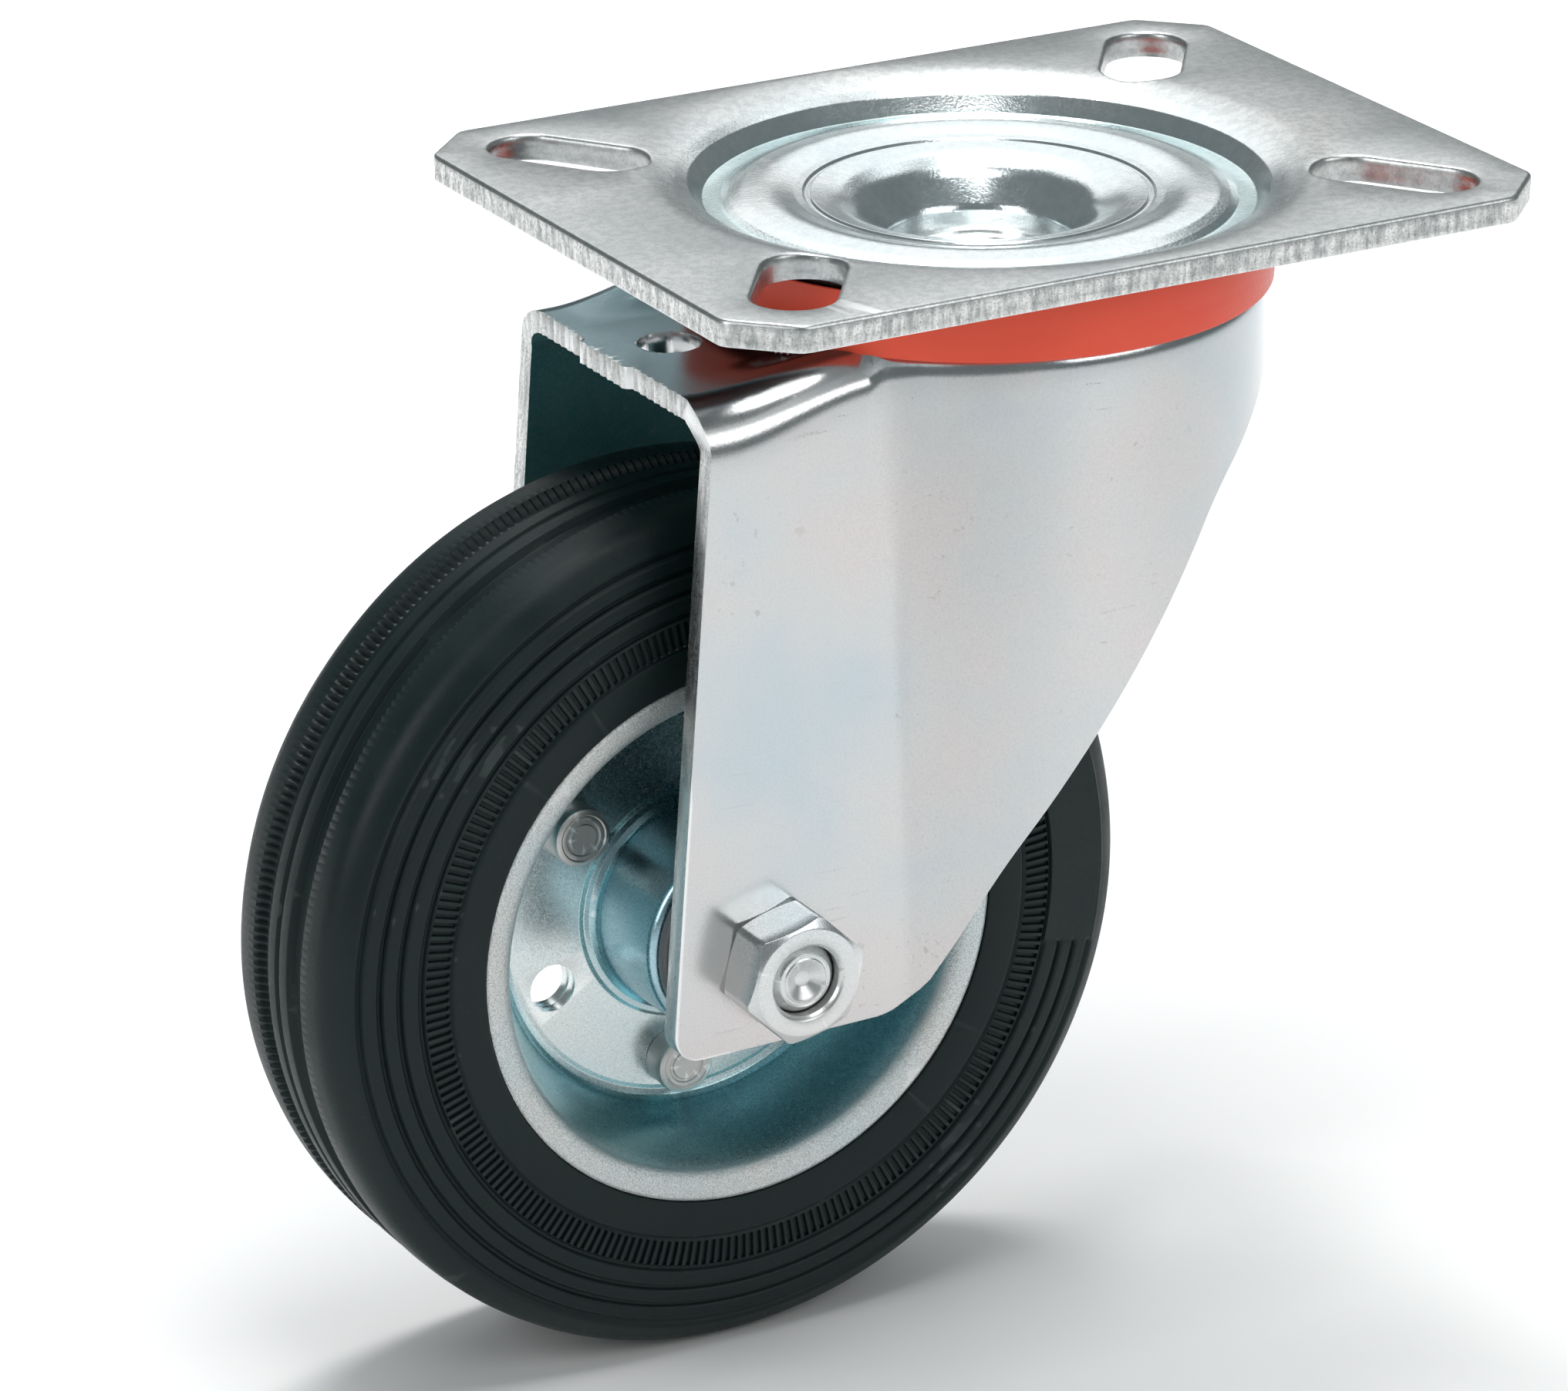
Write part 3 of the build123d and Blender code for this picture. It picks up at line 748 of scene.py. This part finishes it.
def plan_point(kind, share, z):
    """Point and outward direction on the fork's near skin at a height, by zone and share along it."""
    radius, valley = head_radius(z), valley_radius(z)
    reach, drop = radius + valley, LEG_FACE + valley
    x = -math.sqrt(reach ** 2 - drop ** 2)
    if kind == "valley":
        first, last = math.pi / 2, math.atan2(drop, -x)
        turn = first + (last - first) * share
        away = np.array([math.cos(turn), math.sin(turn)])
        return np.array([x, -drop]) + valley * away, -away
    start = math.atan2(-drop, x)
    turn = start * (1 - share)
    away = np.array([math.cos(turn), math.sin(turn)])
    return radius * away, away


def crown_height(x, y):
    """Height of the crown with its raised shoulders, the step up to the head and the ball groove."""
    r = np.hypot(x, y)
    rise = smooth((x + 44.0) / 20.0) * smooth((np.abs(y) - 9.0) / 8.0)
    shoulder = CROWN_TOP + SHOULDER_RISE * rise
    top = shoulder + (HEAD_TOP - shoulder) * smooth((HEAD_STEP - r) / 2.0)
    inside = np.clip(UPPER_GROOVE ** 2 - (r - UPPER_TRACK) ** 2, 0, None)
    return np.where(inside > 0, np.minimum(top, UPPER_TRACK_HEIGHT - np.sqrt(inside)), top)


def fork_column(kind, share, spine, rear, lower, rows):
    """One line of the near skin, from the spine over the roll and down to the lower edge."""
    top_rows, roll_rows, skirt_rows = rows
    if kind == "leg":
        inner_x = plan_point("valley", 0, CROWN_TOP)[0][0]
        edge = np.array([CROWN_REAR + (inner_x - CROWN_REAR) * share, -LEG_FACE])
        away, roll = np.array([0.0, -1.0]), CROWN_BEND + (CREASE_BEND - CROWN_BEND) * smooth(share)
    else:
        edge, away = plan_point(kind, share, CROWN_TOP)
        mix = 0.5 * share if kind == "valley" else 0.5 + 0.5 * min(1, share * 6)
        roll = CREASE_BEND + (HEAD_ROLL - CREASE_BEND) * mix
    start = edge - away * roll
    line = spine + (start - spine) * np.linspace(0, 1, top_rows)[:, None]
    points = [(x, y, float(crown_height(x, y))) for x, y in line]
    base = points[-1][2] - roll
    for a in np.radians(np.linspace(90, 0, roll_rows + 1)[1:]):
        x, y = start + away * roll * math.cos(a)
        z = base + roll * math.sin(a)
        if kind == "leg":
            x += (1 - share) * (np.interp(-z, -rear[:, 1], rear[:, 0]) - CROWN_REAR)
        points.append((x, y, z))
    for t in 1 - (1 - np.linspace(0, 1, skirt_rows + 1)[1:]) ** 1.7:
        if kind == "leg":
            points.append(leg_point(share, t, base, rear, lower))
        else:
            z = base + (foot(kind, share, lower) - base) * t
            (x, y), _ = plan_point(kind, share, z)
            points.append((x, y, z))
    return points


def foot(kind, share, lower):
    """Height of the lower edge under a place on the valley or the head."""
    z = -40.0
    for _ in range(12):
        z = float(np.interp(plan_point(kind, share, z)[0][0], lower[:, 0], lower[:, 1]))
    return z


def leg_point(share, t, base, rear, lower):
    """Point of the flat leg, spread evenly between its rear edge, crease, top and bottom."""
    def left(t):
        z = base + (rear[-1, 1] - base) * t
        return np.array([np.interp(-z, -rear[:, 1], rear[:, 0]), z])

    def right(t):
        z = base + (foot("valley", 0, lower) - base) * t
        return np.array([plan_point("valley", 0, z)[0][0], z])

    def bottom(u):
        x = rear[-1, 0] + (right(1)[0] - rear[-1, 0]) * u
        return np.array([x, np.interp(x, lower[:, 0], lower[:, 1])])

    top = left(0) + (right(0) - left(0)) * share
    sides = (1 - share) * left(t) + share * right(t) + (1 - t) * top + t * bottom(share)
    corners = (1 - share) * ((1 - t) * left(0) + t * left(1))
    corners = corners + share * ((1 - t) * right(0) + t * right(1))
    x, z = sides - corners
    return (x, -LEG_FACE, z)


def fork_skin():
    """Near half of the outer skin as a grid, columns along the fork's outline."""
    rear, lower = leg_outline()
    leg, valley, head = 48, 14, 64
    rows = (56, 8, 44)
    places = [("leg", (k / leg) ** 1.25) for k in range(leg)]
    places += [("valley", k / valley) for k in range(valley)]
    places += [("head", k / head) for k in range(head + 1)]
    columns = []
    for k, (kind, share) in enumerate(places):
        if kind == "head":
            turn = math.pi * (1 - share)
            spine = HEAD_BORE * np.array([math.cos(turn), -math.sin(turn)])
        else:
            spine = np.array([CROWN_REAR + (-HEAD_BORE - CROWN_REAR) * k / (leg + valley), 0.0])
        columns.append(fork_column(kind, share, spine, rear, lower, rows))
    return np.array(columns).transpose(1, 0, 2)


def press_marks(points):
    """What the press leaves: a slight wave, a dent, and the ragged tab on the crown's rear edge."""
    x, y, z = points[..., 0], points[..., 1], points[..., 2]
    dent_x, dent_z, dent_radius, dent_depth = -15.2, -17.8, 1.7, 0.10
    wave = 0.05 * np.sin(x / 9.0 + z / 14.0) * np.sin(z / 11.0 + 1.0)
    mark = -dent_depth * smooth((dent_radius - np.hypot(x - dent_x, z - dent_z)) / 0.5)
    down = smooth((CROWN_TOP - 3 - z) / 4)
    points[..., 1] -= np.sign(y) * (wave * down + mark * (y < 0)) * (np.abs(y) > 10)
    tab_half, tab_middle, tab_length = 5.6, 0.3, 0.8
    tab = smooth((tab_half - np.abs(y - tab_middle)) / 0.5) * smooth((CROWN_REAR + 1.6 - x) / 1.6)
    rag = 0.10 * np.sin(y * 4.1) + 0.07 * np.sin(y * 9.7 + 1.0)
    rag = rag * smooth((CROWN_REAR + 0.9 - x) / 0.9)
    points[..., 0] -= (tab_length * tab + rag) * (z > CROWN_TOP - 1)


def fork(metal, edge, inside):
    """Pressed fork: skin, thickness, holes and softened edges."""
    near = fork_skin()
    far = near * np.array([1, -1, 1])
    press_marks(near)
    press_marks(far)
    shape = Shape()
    shape.grid(near, wrap_around=False)
    shape.grid(far[:, ::-1], wrap_around=False)
    piece = shape.build("fork_pressing", outward=False)
    for material in (metal, edge, inside):
        piece.data.materials.append(material)
    thicken = piece.modifiers.new("sheet", "SOLIDIFY")
    thicken.thickness, thicken.offset = SHEET * MM, -1
    # The offset gives the inner faces the third material, the dark teal zinc that paints shade inside the fork.
    thicken.use_rim, thicken.material_offset_rim, thicken.material_offset = True, 1, 2
    settle(piece)
    hole_x, hole_radius = CROWN_HOLE
    lower_track = circle(LOWER_GROOVE, 32, LOWER_TRACK, LOWER_TRACK_HEIGHT)
    cut(piece, [
        cylinder_y(AXLE_HOLE, AXLE[0], AXLE[2], -LEG_FACE - 2, LEG_FACE + 2, 48),
        cylinder_z(hole_radius, hole_x, 0, CROWN_TOP - 6, CROWN_TOP + 3, 64),
        lathe("cutter", turned_z(lower_track, 128)),
    ])
    soften(piece, 0.28)
    finish_piece(piece, "fork", "fork", "fork_zinc", metal, edge, inside)


def dust_ring(material):
    """Thin moulded ring round the fork's head."""
    profile = rounded([
        (32.5, -12.1, 0.15), (32.62, -9.0, 4), (33.0, -4.5, 0.15), (32.6, -5.1, 0.15),
        (31.5, -7.4, 0.3), (31.4, -9.8, 0.4), (27.8, -9.8, 0.2), (27.8, -10.7), (28.6, -10.7),
        (30.4, -10.7, 1.4), (31.45, -12.1, 0.1),
    ], 6)
    piece = lathe("seal_ring", turned_z(profile, 256))
    finish_piece(piece, "fork", "dust_ring", "orange_plastic", material)


# ---- wheel

def tyre_half():
    """Half section of the tyre, from the middle of the tread to the bead."""
    return rounded([
        (49.55, 0.0), (49.62, 0.35), (49.98, 0.55, 0.1), (49.95, 2.3, 0.25), (48.95, 2.8, 0.2),
        (48.85, 4.1, 0.2),
        (49.2, 4.55), (49.55, 4.95), (49.85, 5.35), (TYRE_RADIUS, 5.9), (49.95, 7.5), (49.7, 10.4, 3.4),
        (46.75, 12.7, 0.6), (46.4, 12.35), (46.05, 12.3), (45.75, 12.95, 0.2), (45.2, 13.0, 0.3),
        (44.4, 13.2, 0.4), (44.1, 12.75), (43.8, 12.72), (43.5, 13.4, 0.2), (43.0, 13.45, 0.3),
        (42.2, 13.6, 0.4), (41.9, 13.15), (41.6, 13.12), (41.3, 13.78, 0.2), (40.8, 13.8, 0.3),
        (39.8, 13.9, 0.3), (39.5, 13.5), (39.2, 13.48), (38.95, 13.98, 0.1), (38.85, 13.98),
        (36.2, 13.98), (36.05, 13.95), (35.75, 13.7, 0.1), (35.45, 14.05, 0.4), (31.5, 13.75, 0.2),
        (31.5, 12.2), (29.75, 12.2, 1.9), (28.9, 8.4), (28.9, 4.0),
    ], 3, closed=False)


def rubber_tyre(material):
    """Tyre with serrated tread grooves, stepped side rings and a knurled band."""
    half = tyre_half()
    profile = np.vstack([half, (half * [1, -1])[::-1]])
    count, ribs, teeth = 960, 240, 320
    step = np.arange(count)
    angle = 2 * math.pi * step / count
    radius = np.repeat(profile[:, 0, None], count, axis=1)
    side = np.repeat(profile[:, 1, None], count, axis=1)
    reach, hand = np.abs(profile[:, 1]), np.sign(profile[:, 1])
    turn = np.repeat(angle[None], len(profile), axis=0)

    flank = (profile[:, 0] > 49.0) & (reach > 4.4) & (reach < 5.5)
    tooth_out, tooth_down = 0.32, 0.28
    saw = (step % (count // teeth)) / 2
    side[flank] += (hand[flank] * tooth_out)[:, None] * saw
    radius[flank] -= tooth_down * saw

    band = (profile[:, 0] > 36.1) & (profile[:, 0] < 38.9) & (reach > 13.5)
    rib_depth, rib_slant = 0.42, 0.28
    phase = step % (count // ribs)
    side[band] -= (hand[band] * rib_depth)[:, None] * (phase > 1)
    turn[band] += np.where(phase % 2 == 0, -rib_slant, rib_slant) * 2 * math.pi / count

    rings = (profile[:, 0] > 39.3) & (profile[:, 0] < 46.8) & (reach > 12)
    plain_first, plain_last, blend_deg = -13.6, 52, 0.8
    plain = 13.98 - (profile[rings, 0] - 39.0) * 0.155
    signed = (np.degrees(angle) + 180) % 360 - 180
    panel = smooth((signed - plain_first) / blend_deg) * smooth((plain_last - signed) / blend_deg)
    side[rings] += (hand[rings] * (plain - reach[rings]))[:, None] * panel

    swell = 0.03 * np.sin(5 * angle + 0.7) + 0.02 * np.sin(11 * angle)
    radius -= (0.05 + swell) * (profile[:, 0, None] > 49)
    grid = np.stack([AXLE[0] + radius * np.cos(turn), side, AXLE[2] + radius * np.sin(turn)], axis=-1)
    piece = lathe("rubber_tyre", grid, sharp_deg=38)
    finish_piece(piece, "wheel", "tyre", "black_rubber", material)


def around_axle(offset=0.0):
    """Places of the rivets, or of the holes between them, as (x, z)."""
    for k in range(RIVET_COUNT):
        turn = FIRST_RIVET + offset + 2 * math.pi * k / RIVET_COUNT
        yield AXLE[0] + RIVET_PITCH * math.cos(turn), AXLE[2] + RIVET_PITCH * math.sin(turn)


def rim_half(hand, metal):
    """One pressed half of the rim, on the side that hand gives (-1 is the nut's side)."""
    side = "near" if hand < 0 else "far"
    web, face, inner = RIM_WEB, 13.6, COLLAR_RADIUS - RIM_WEB
    profile = rounded([
        (inner, 0), (24.3, 0, 1.2), (28.4, 9.2, 5), (29.2, face - 1.3, 1.5), (31.3, face - 1.3, 0.15),
        (31.4, face - 0.1, 0.1), (31.0, face + 0.1, 0.4), (28.5, face, 2.2), (26.9, 9.5, 5),
        (24.0, 2.2, 2), (23.4, web + 0.15, 0.5), (22.7, web - 0.12, 0.2), (22.2, web, 0.3),
        (13.9, web, 0.15), (13.55, web + 0.5, 0.2), (12.9, web + 0.55, 0.2),
        (COLLAR_RADIUS + 0.1, web + 1.2, 0.9), (COLLAR_RADIUS, COLLAR_END - 0.1, 1.1),
        (inner, COLLAR_END - 0.2, 0.15),
    ], 7)
    profile[:, 1] *= hand
    piece = lathe(f"rim_half_{side}", turned_y(profile, 240))
    low, high = sorted((-1.0 * hand, (web + 1.0) * hand))
    holes = [cylinder_y(RIM_HOLE, x, z, low, high, 56) for x, z in around_axle(math.pi / RIVET_COUNT)]
    holes += [cylinder_y(RIVET_SHANK + 0.05, x, z, low, high, 40) for x, z in around_axle()]
    cut(piece, holes)
    soften(piece, 0.12, 60)
    finish_piece(piece, "wheel", f"rim_{side}", "rim_zinc", metal)


def rim_rivets(metal):
    """Flat-headed rivets, each head pressed with a shallow ring."""
    top = box("rim_rivets")[1][1]
    dips = [
        (0.0, 0.10), (0.9, 0.08), (1.55, 0.05), (1.7, 0.2), (1.95, 0.2), (2.1, 0.04), (2.45, 0.02),
        (2.6, 0.1), (2.75, 0.0), (3.05, 0.04), (3.3, 0.2), (3.4, 0.55), (3.38, 1.6),
    ]
    half = [(r, top - dip) for r, dip in dips] + [(3.3, RIM_WEB + 0.02), (RIVET_SHANK, RIM_WEB)]
    profile = np.array(half + [(r, -h) for r, h in reversed(half)])
    shape, count = Shape(), 64
    for k, (x, z) in enumerate(around_axle()):
        grid = turned_y(profile, count, (x, 0, z))
        edge = (profile[:, 0] > 2.5)[:, None] * np.sign(profile[:, 1])[:, None]
        grid[..., 1] += 0.05 * np.sin(2 * around(count) + 1.3 * k) * edge
        shape.grid(grid)
    finish_piece(shape.build("rim_rivet_set"), "wheel", "rim_rivets", "rivet_zinc", metal)


# ---- axle bolt and nut

def hexagon():
    """Radius of a hexagon at each angle, its corners a little blunted."""
    apart = (around(HEXAGON_POINTS) - NUT_TURN) % (math.pi / 3) - math.pi / 6
    exact = ACROSS_FLATS / 2 / np.cos(apart)
    return np.minimum(exact, ACROSS_FLATS / 2 / math.cos(math.pi / 6) - CORNER_BLUNTING)


def chamfer(radius, start=CHAMFER_START):
    """How far a chamfered face has fallen away at a radius."""
    return np.clip(radius - start, 0, None) * CHAMFER_SLOPE


def ring_row(radius, height, hand=1):
    """One ring of points round the axle, at a height over a leg's outer face."""
    turn = around(HEXAGON_POINTS)
    radius, place = radius + 0 * turn, hand * (LEG_FACE + height) + 0 * turn
    return np.column_stack([AXLE[0] + radius * np.cos(turn), place, AXLE[2] + radius * np.sin(turn)])


def axle_nut(metal):
    """Hexagon nut, chamfered at both faces, with a countersunk thread."""
    height, outer = -box("axle_nut")[0][1] - LEG_FACE, hexagon()
    face = height - 0.01
    rows = [
        (4.06, 0.0), (4.06, height - 1.2), (4.06, height - 0.55), (4.2, height - 0.32),
        (4.42, height - 0.06), (4.55, height), (CHAMFER_START - 0.08, height), (CHAMFER_START, face),
    ]
    for share in np.linspace(0.25, 1, 4):
        radius = CHAMFER_START + (outer - CHAMFER_START) * share - (0.05 if share == 1 else 0)
        rows.append((radius, face - (radius - CHAMFER_START) * CHAMFER_SLOPE))
    high = face - (outer - CHAMFER_START) * CHAMFER_SLOPE
    low = 0.01 + chamfer(outer, CHAMFER_START + 0.25)
    rows += [
        (outer, high - 0.08), (outer, 0.6 + (high - 0.7) * 0.66), (outer, 0.6 + (high - 0.7) * 0.33),
        (outer, low + 0.06), (outer - 0.05, low), (CHAMFER_START + 0.2, 0.0),
    ]
    shape = Shape()
    shape.grid(np.array([ring_row(r, h, -1) for r, h in rows]), wrap_rows=True)
    finish_piece(shape.build("nut_hexagon", 28), "fork", "axle_nut", "bolt_zinc", metal)


def axle_bolt(metal):
    """Hexagon bolt: head on the far leg, shank, and a dimpled end inside the nut."""
    end = box("axle_bolt")[0][1]
    head, outer = box("axle_bolt")[1][1] - LEG_FACE, hexagon()
    tip = rounded([
        (0, end + 0.95), (0.9, end + 0.8, 0.6), (2.2, end + 0.1, 0.3), (2.45, end, 0.08),
        (2.62, end + 0.12, 0.05), (2.9, end + 0.16, 0.05), (3.05, end + 0.06, 0.1),
        (3.95, end + 1.15, 0.1), (3.95, LEG_FACE),
    ], 4, closed=False)
    low, high = 0.3 + chamfer(outer), head - 0.2 - chamfer(outer)
    rows = [(r, h - LEG_FACE) for r, h in tip]
    rows += [
        (CHAMFER_START - 0.1, 0.0), (CHAMFER_START - 0.1, 0.3), (outer - 0.05, low - 0.02),
        (outer, low + 0.08), (outer, high - 0.08), (outer - 0.06, high), (CHAMFER_START, head - 0.2),
        (CHAMFER_START - 0.3, head - 0.08), (4.6, head), (4.2, head - 0.25), (0.0, head - 0.3),
    ]
    shape = Shape()
    shape.grid(np.array([ring_row(r, h) for r, h in rows]))
    finish_piece(shape.build("bolt_hexagon", 28), "fork", "axle_bolt", "bolt_zinc", metal)


# ---- carried nodes, camera, light

def carry(material, *names):
    """CAD nodes whose shape is right get only a material."""
    for name in names:
        node = frame["nodes"][name]
        node.data.materials.clear()
        node.data.materials.append(material)


def camera():
    """Camera at the viewing angle: from the nut's side, above and to the rear of the fork."""
    azimuth, elevation, roll = (math.radians(a) for a in (-28.95, 21.54, -0.34))
    distance, target = 0.81226, Vector((-0.02413, 0.00132, -0.0585))
    reach = math.cos(elevation)
    back = Vector((math.sin(azimuth) * reach, -math.cos(azimuth) * reach, math.sin(elevation)))
    data = bpy.data.cameras.new("camera")
    data.sensor_width, data.lens = 36.0, 167.75
    data.clip_start, data.clip_end = 0.05, 30.0
    view = bpy.data.objects.new("camera", data)
    level = (-back).to_track_quat("-Z", "Y").to_matrix().to_4x4()
    place = Matrix.Translation(target + back * distance)
    view.matrix_world = place @ level @ Matrix.Rotation(roll, 4, "Z")
    bpy.context.scene.collection.objects.link(view)
    bpy.context.scene.camera = view


def lamp(name, place, aim, size, power, spread_deg=180):
    """Soft rectangular lamp."""
    data = bpy.data.lights.new(name, "AREA")
    data.shape, data.size, data.size_y, data.energy = "RECTANGLE", size[0], size[1], power
    data.spread = math.radians(spread_deg)
    light = bpy.data.objects.new(name, data)
    light.location = place
    light.rotation_mode = "QUATERNION"
    light.rotation_quaternion = (Vector(aim) - Vector(place)).to_track_quat("-Z", "Y")
    light.visible_camera = False
    bpy.context.scene.collection.objects.link(light)


def studio():
    """Pale floor, pale surround and soft lamps."""
    scene = bpy.context.scene
    scene.view_settings.view_transform = "Standard"
    world = bpy.data.worlds.new("surround")
    scene.world = world
    world.use_nodes = True
    surround = world.node_tree.nodes["Background"].inputs
    surround["Color"].default_value, surround["Strength"].default_value = (0.80, 0.90, 0.92, 1), 0.22
    ground, half = float(box("tyre")[0][2]), 4000.0
    shape = Shape()
    corners = ((-half, -half), (half, -half), (half, half), (-half, half))
    shape.add([(x, y, ground) for x, y in corners], [(0, 1, 2, 3)])
    floor = shape.build("floor", outward=False)
    paper = Finish("paper", Metallic=0.0, Roughness=0.8)
    tone = paper.ramp(paper.noise(3, 2), [(0.3, (0.88, 0.88, 0.88)), (0.7, (0.90, 0.90, 0.90))])
    paper.tree.links.new(tone, paper.shader.inputs["Base Color"])
    floor.data.materials.append(paper.material)
    lamp("backdrop", (0.55, 1.25, 0.78), (0.0, 0.0, 0.0), (1.3, 0.68), 2.7)
    lamp("high_back", (0.50, 0.95, 1.38), (0.0, 0.0, 0.0), (1.7, 0.62), 3.6)
    lamp("floor_back", (0.25, 0.80, 1.9), (0.20, 0.85, -0.13), (0.5, 0.5), 8.0, spread_deg=66)
    lamp("top", (-0.02, -0.22, 1.0), (-0.02, -0.22, -0.13), (0.5, 0.34), 4.0)
    lamp("roof", (0.30, 0.18, 1.25), (0.0, 0.0, -0.02), (0.45, 0.45), 1.0)
    lamp("pool", (0.10, -0.40, 0.30), (0.10, -0.30, -0.13), (0.12, 0.12), 0.07, spread_deg=70)
    lamp("left", (-1.1, -0.28, 0.5), (0, 0, -0.05), (0.4, 0.8), 3.8)
    lamp("front", (0.42, -1.0, 0.56), (0, 0, -0.05), (0.78, 0.62), 3.2)


# ---- build

plate_metal = plate_zinc("plate_metal")
# Painted shade: a darker copy of the zinc for the plate's underside, which also darkens the crown's reflection of
# it.
underside_painted_shade = zinc(
    "underside_painted_shade", [(0.26, 0.30, 0.31), (0.31, 0.34, 0.35), (0.36, 0.38, 0.38)], 0.30, 0.28, 0.02,
)
# Painted shade: a dark teal copy of the zinc for the fork's inner faces, standing in for the shade inside the fork
# and the dark tyre reflected there.
inside_painted_shade = zinc(
    "inside_painted_shade", [(0.035, 0.15, 0.165), (0.05, 0.19, 0.20), (0.08, 0.22, 0.23)], 0.40, 0.28, 0.03,
    metallic=0.35,
)
# The fork's zinc paints a dark reflection onto its level faces, the crown's top.
fork_metal = zinc(
    "fork_metal", [(0.53, 0.60, 0.635), (0.62, 0.63, 0.635), (0.67, 0.635, 0.63)], 0.17, 0.22, 0.008,
    grit=0.22, painted_dark_reflection=0.85,
)
bolt_metal = zinc(
    "bolt_metal", [(0.66, 0.70, 0.71), (0.72, 0.74, 0.74), (0.76, 0.76, 0.75)], 0.28, 0.2, 0.01,
)
pin_metal = zinc(
    "pin_metal", [(0.70, 0.75, 0.76), (0.76, 0.78, 0.78), (0.80, 0.80, 0.79)], 0.24, 0.2, 0.01,
)
rivet_metal = zinc(
    "rivet_metal", [(0.50, 0.49, 0.47), (0.56, 0.55, 0.53), (0.62, 0.61, 0.59)], 0.42, 0.15, 0.02,
)
plate_edge = sheared("plate_edge")
fork_edge = sheared("fork_edge")
rim_finish = rim_metal("rim_finish")
tyre_rubber = rubber("tyre_rubber")
orange = plastic("orange_plastic", (0.95, 0.088, 0.034), (0.88, 0.076, 0.029))
grey = plastic("grey_plastic", (0.13, 0.14, 0.15), (0.09, 0.10, 0.105), 0.42)
ball_steel = polished("ball_steel", (0.72, 0.73, 0.74), (0.80, 0.80, 0.80), 0.10)
race_steel = polished("race_steel", (0.55, 0.56, 0.57), (0.64, 0.64, 0.63), 0.26)

camera()
studio()
top_plate(plate_metal, plate_edge, underside_painted_shade)
king_pin(pin_metal)
fork(fork_metal, fork_edge, inside_painted_shade)
dust_ring(orange)
rubber_tyre(tyre_rubber)
for hand in (-1, 1):
    rim_half(hand, rim_finish)
rim_rivets(rivet_metal)
axle_nut(bolt_metal)
axle_bolt(bolt_metal)
carry(ball_steel, "upper_balls", "lower_balls", "rollers")
carry(race_steel, "lower_race", "bearing_race")
carry(grey, "roller_cage", "hub_cap_near", "hub_cap_far")
carry(pin_metal, "thrust_washer_near", "thrust_washer_far", "axle_tube")
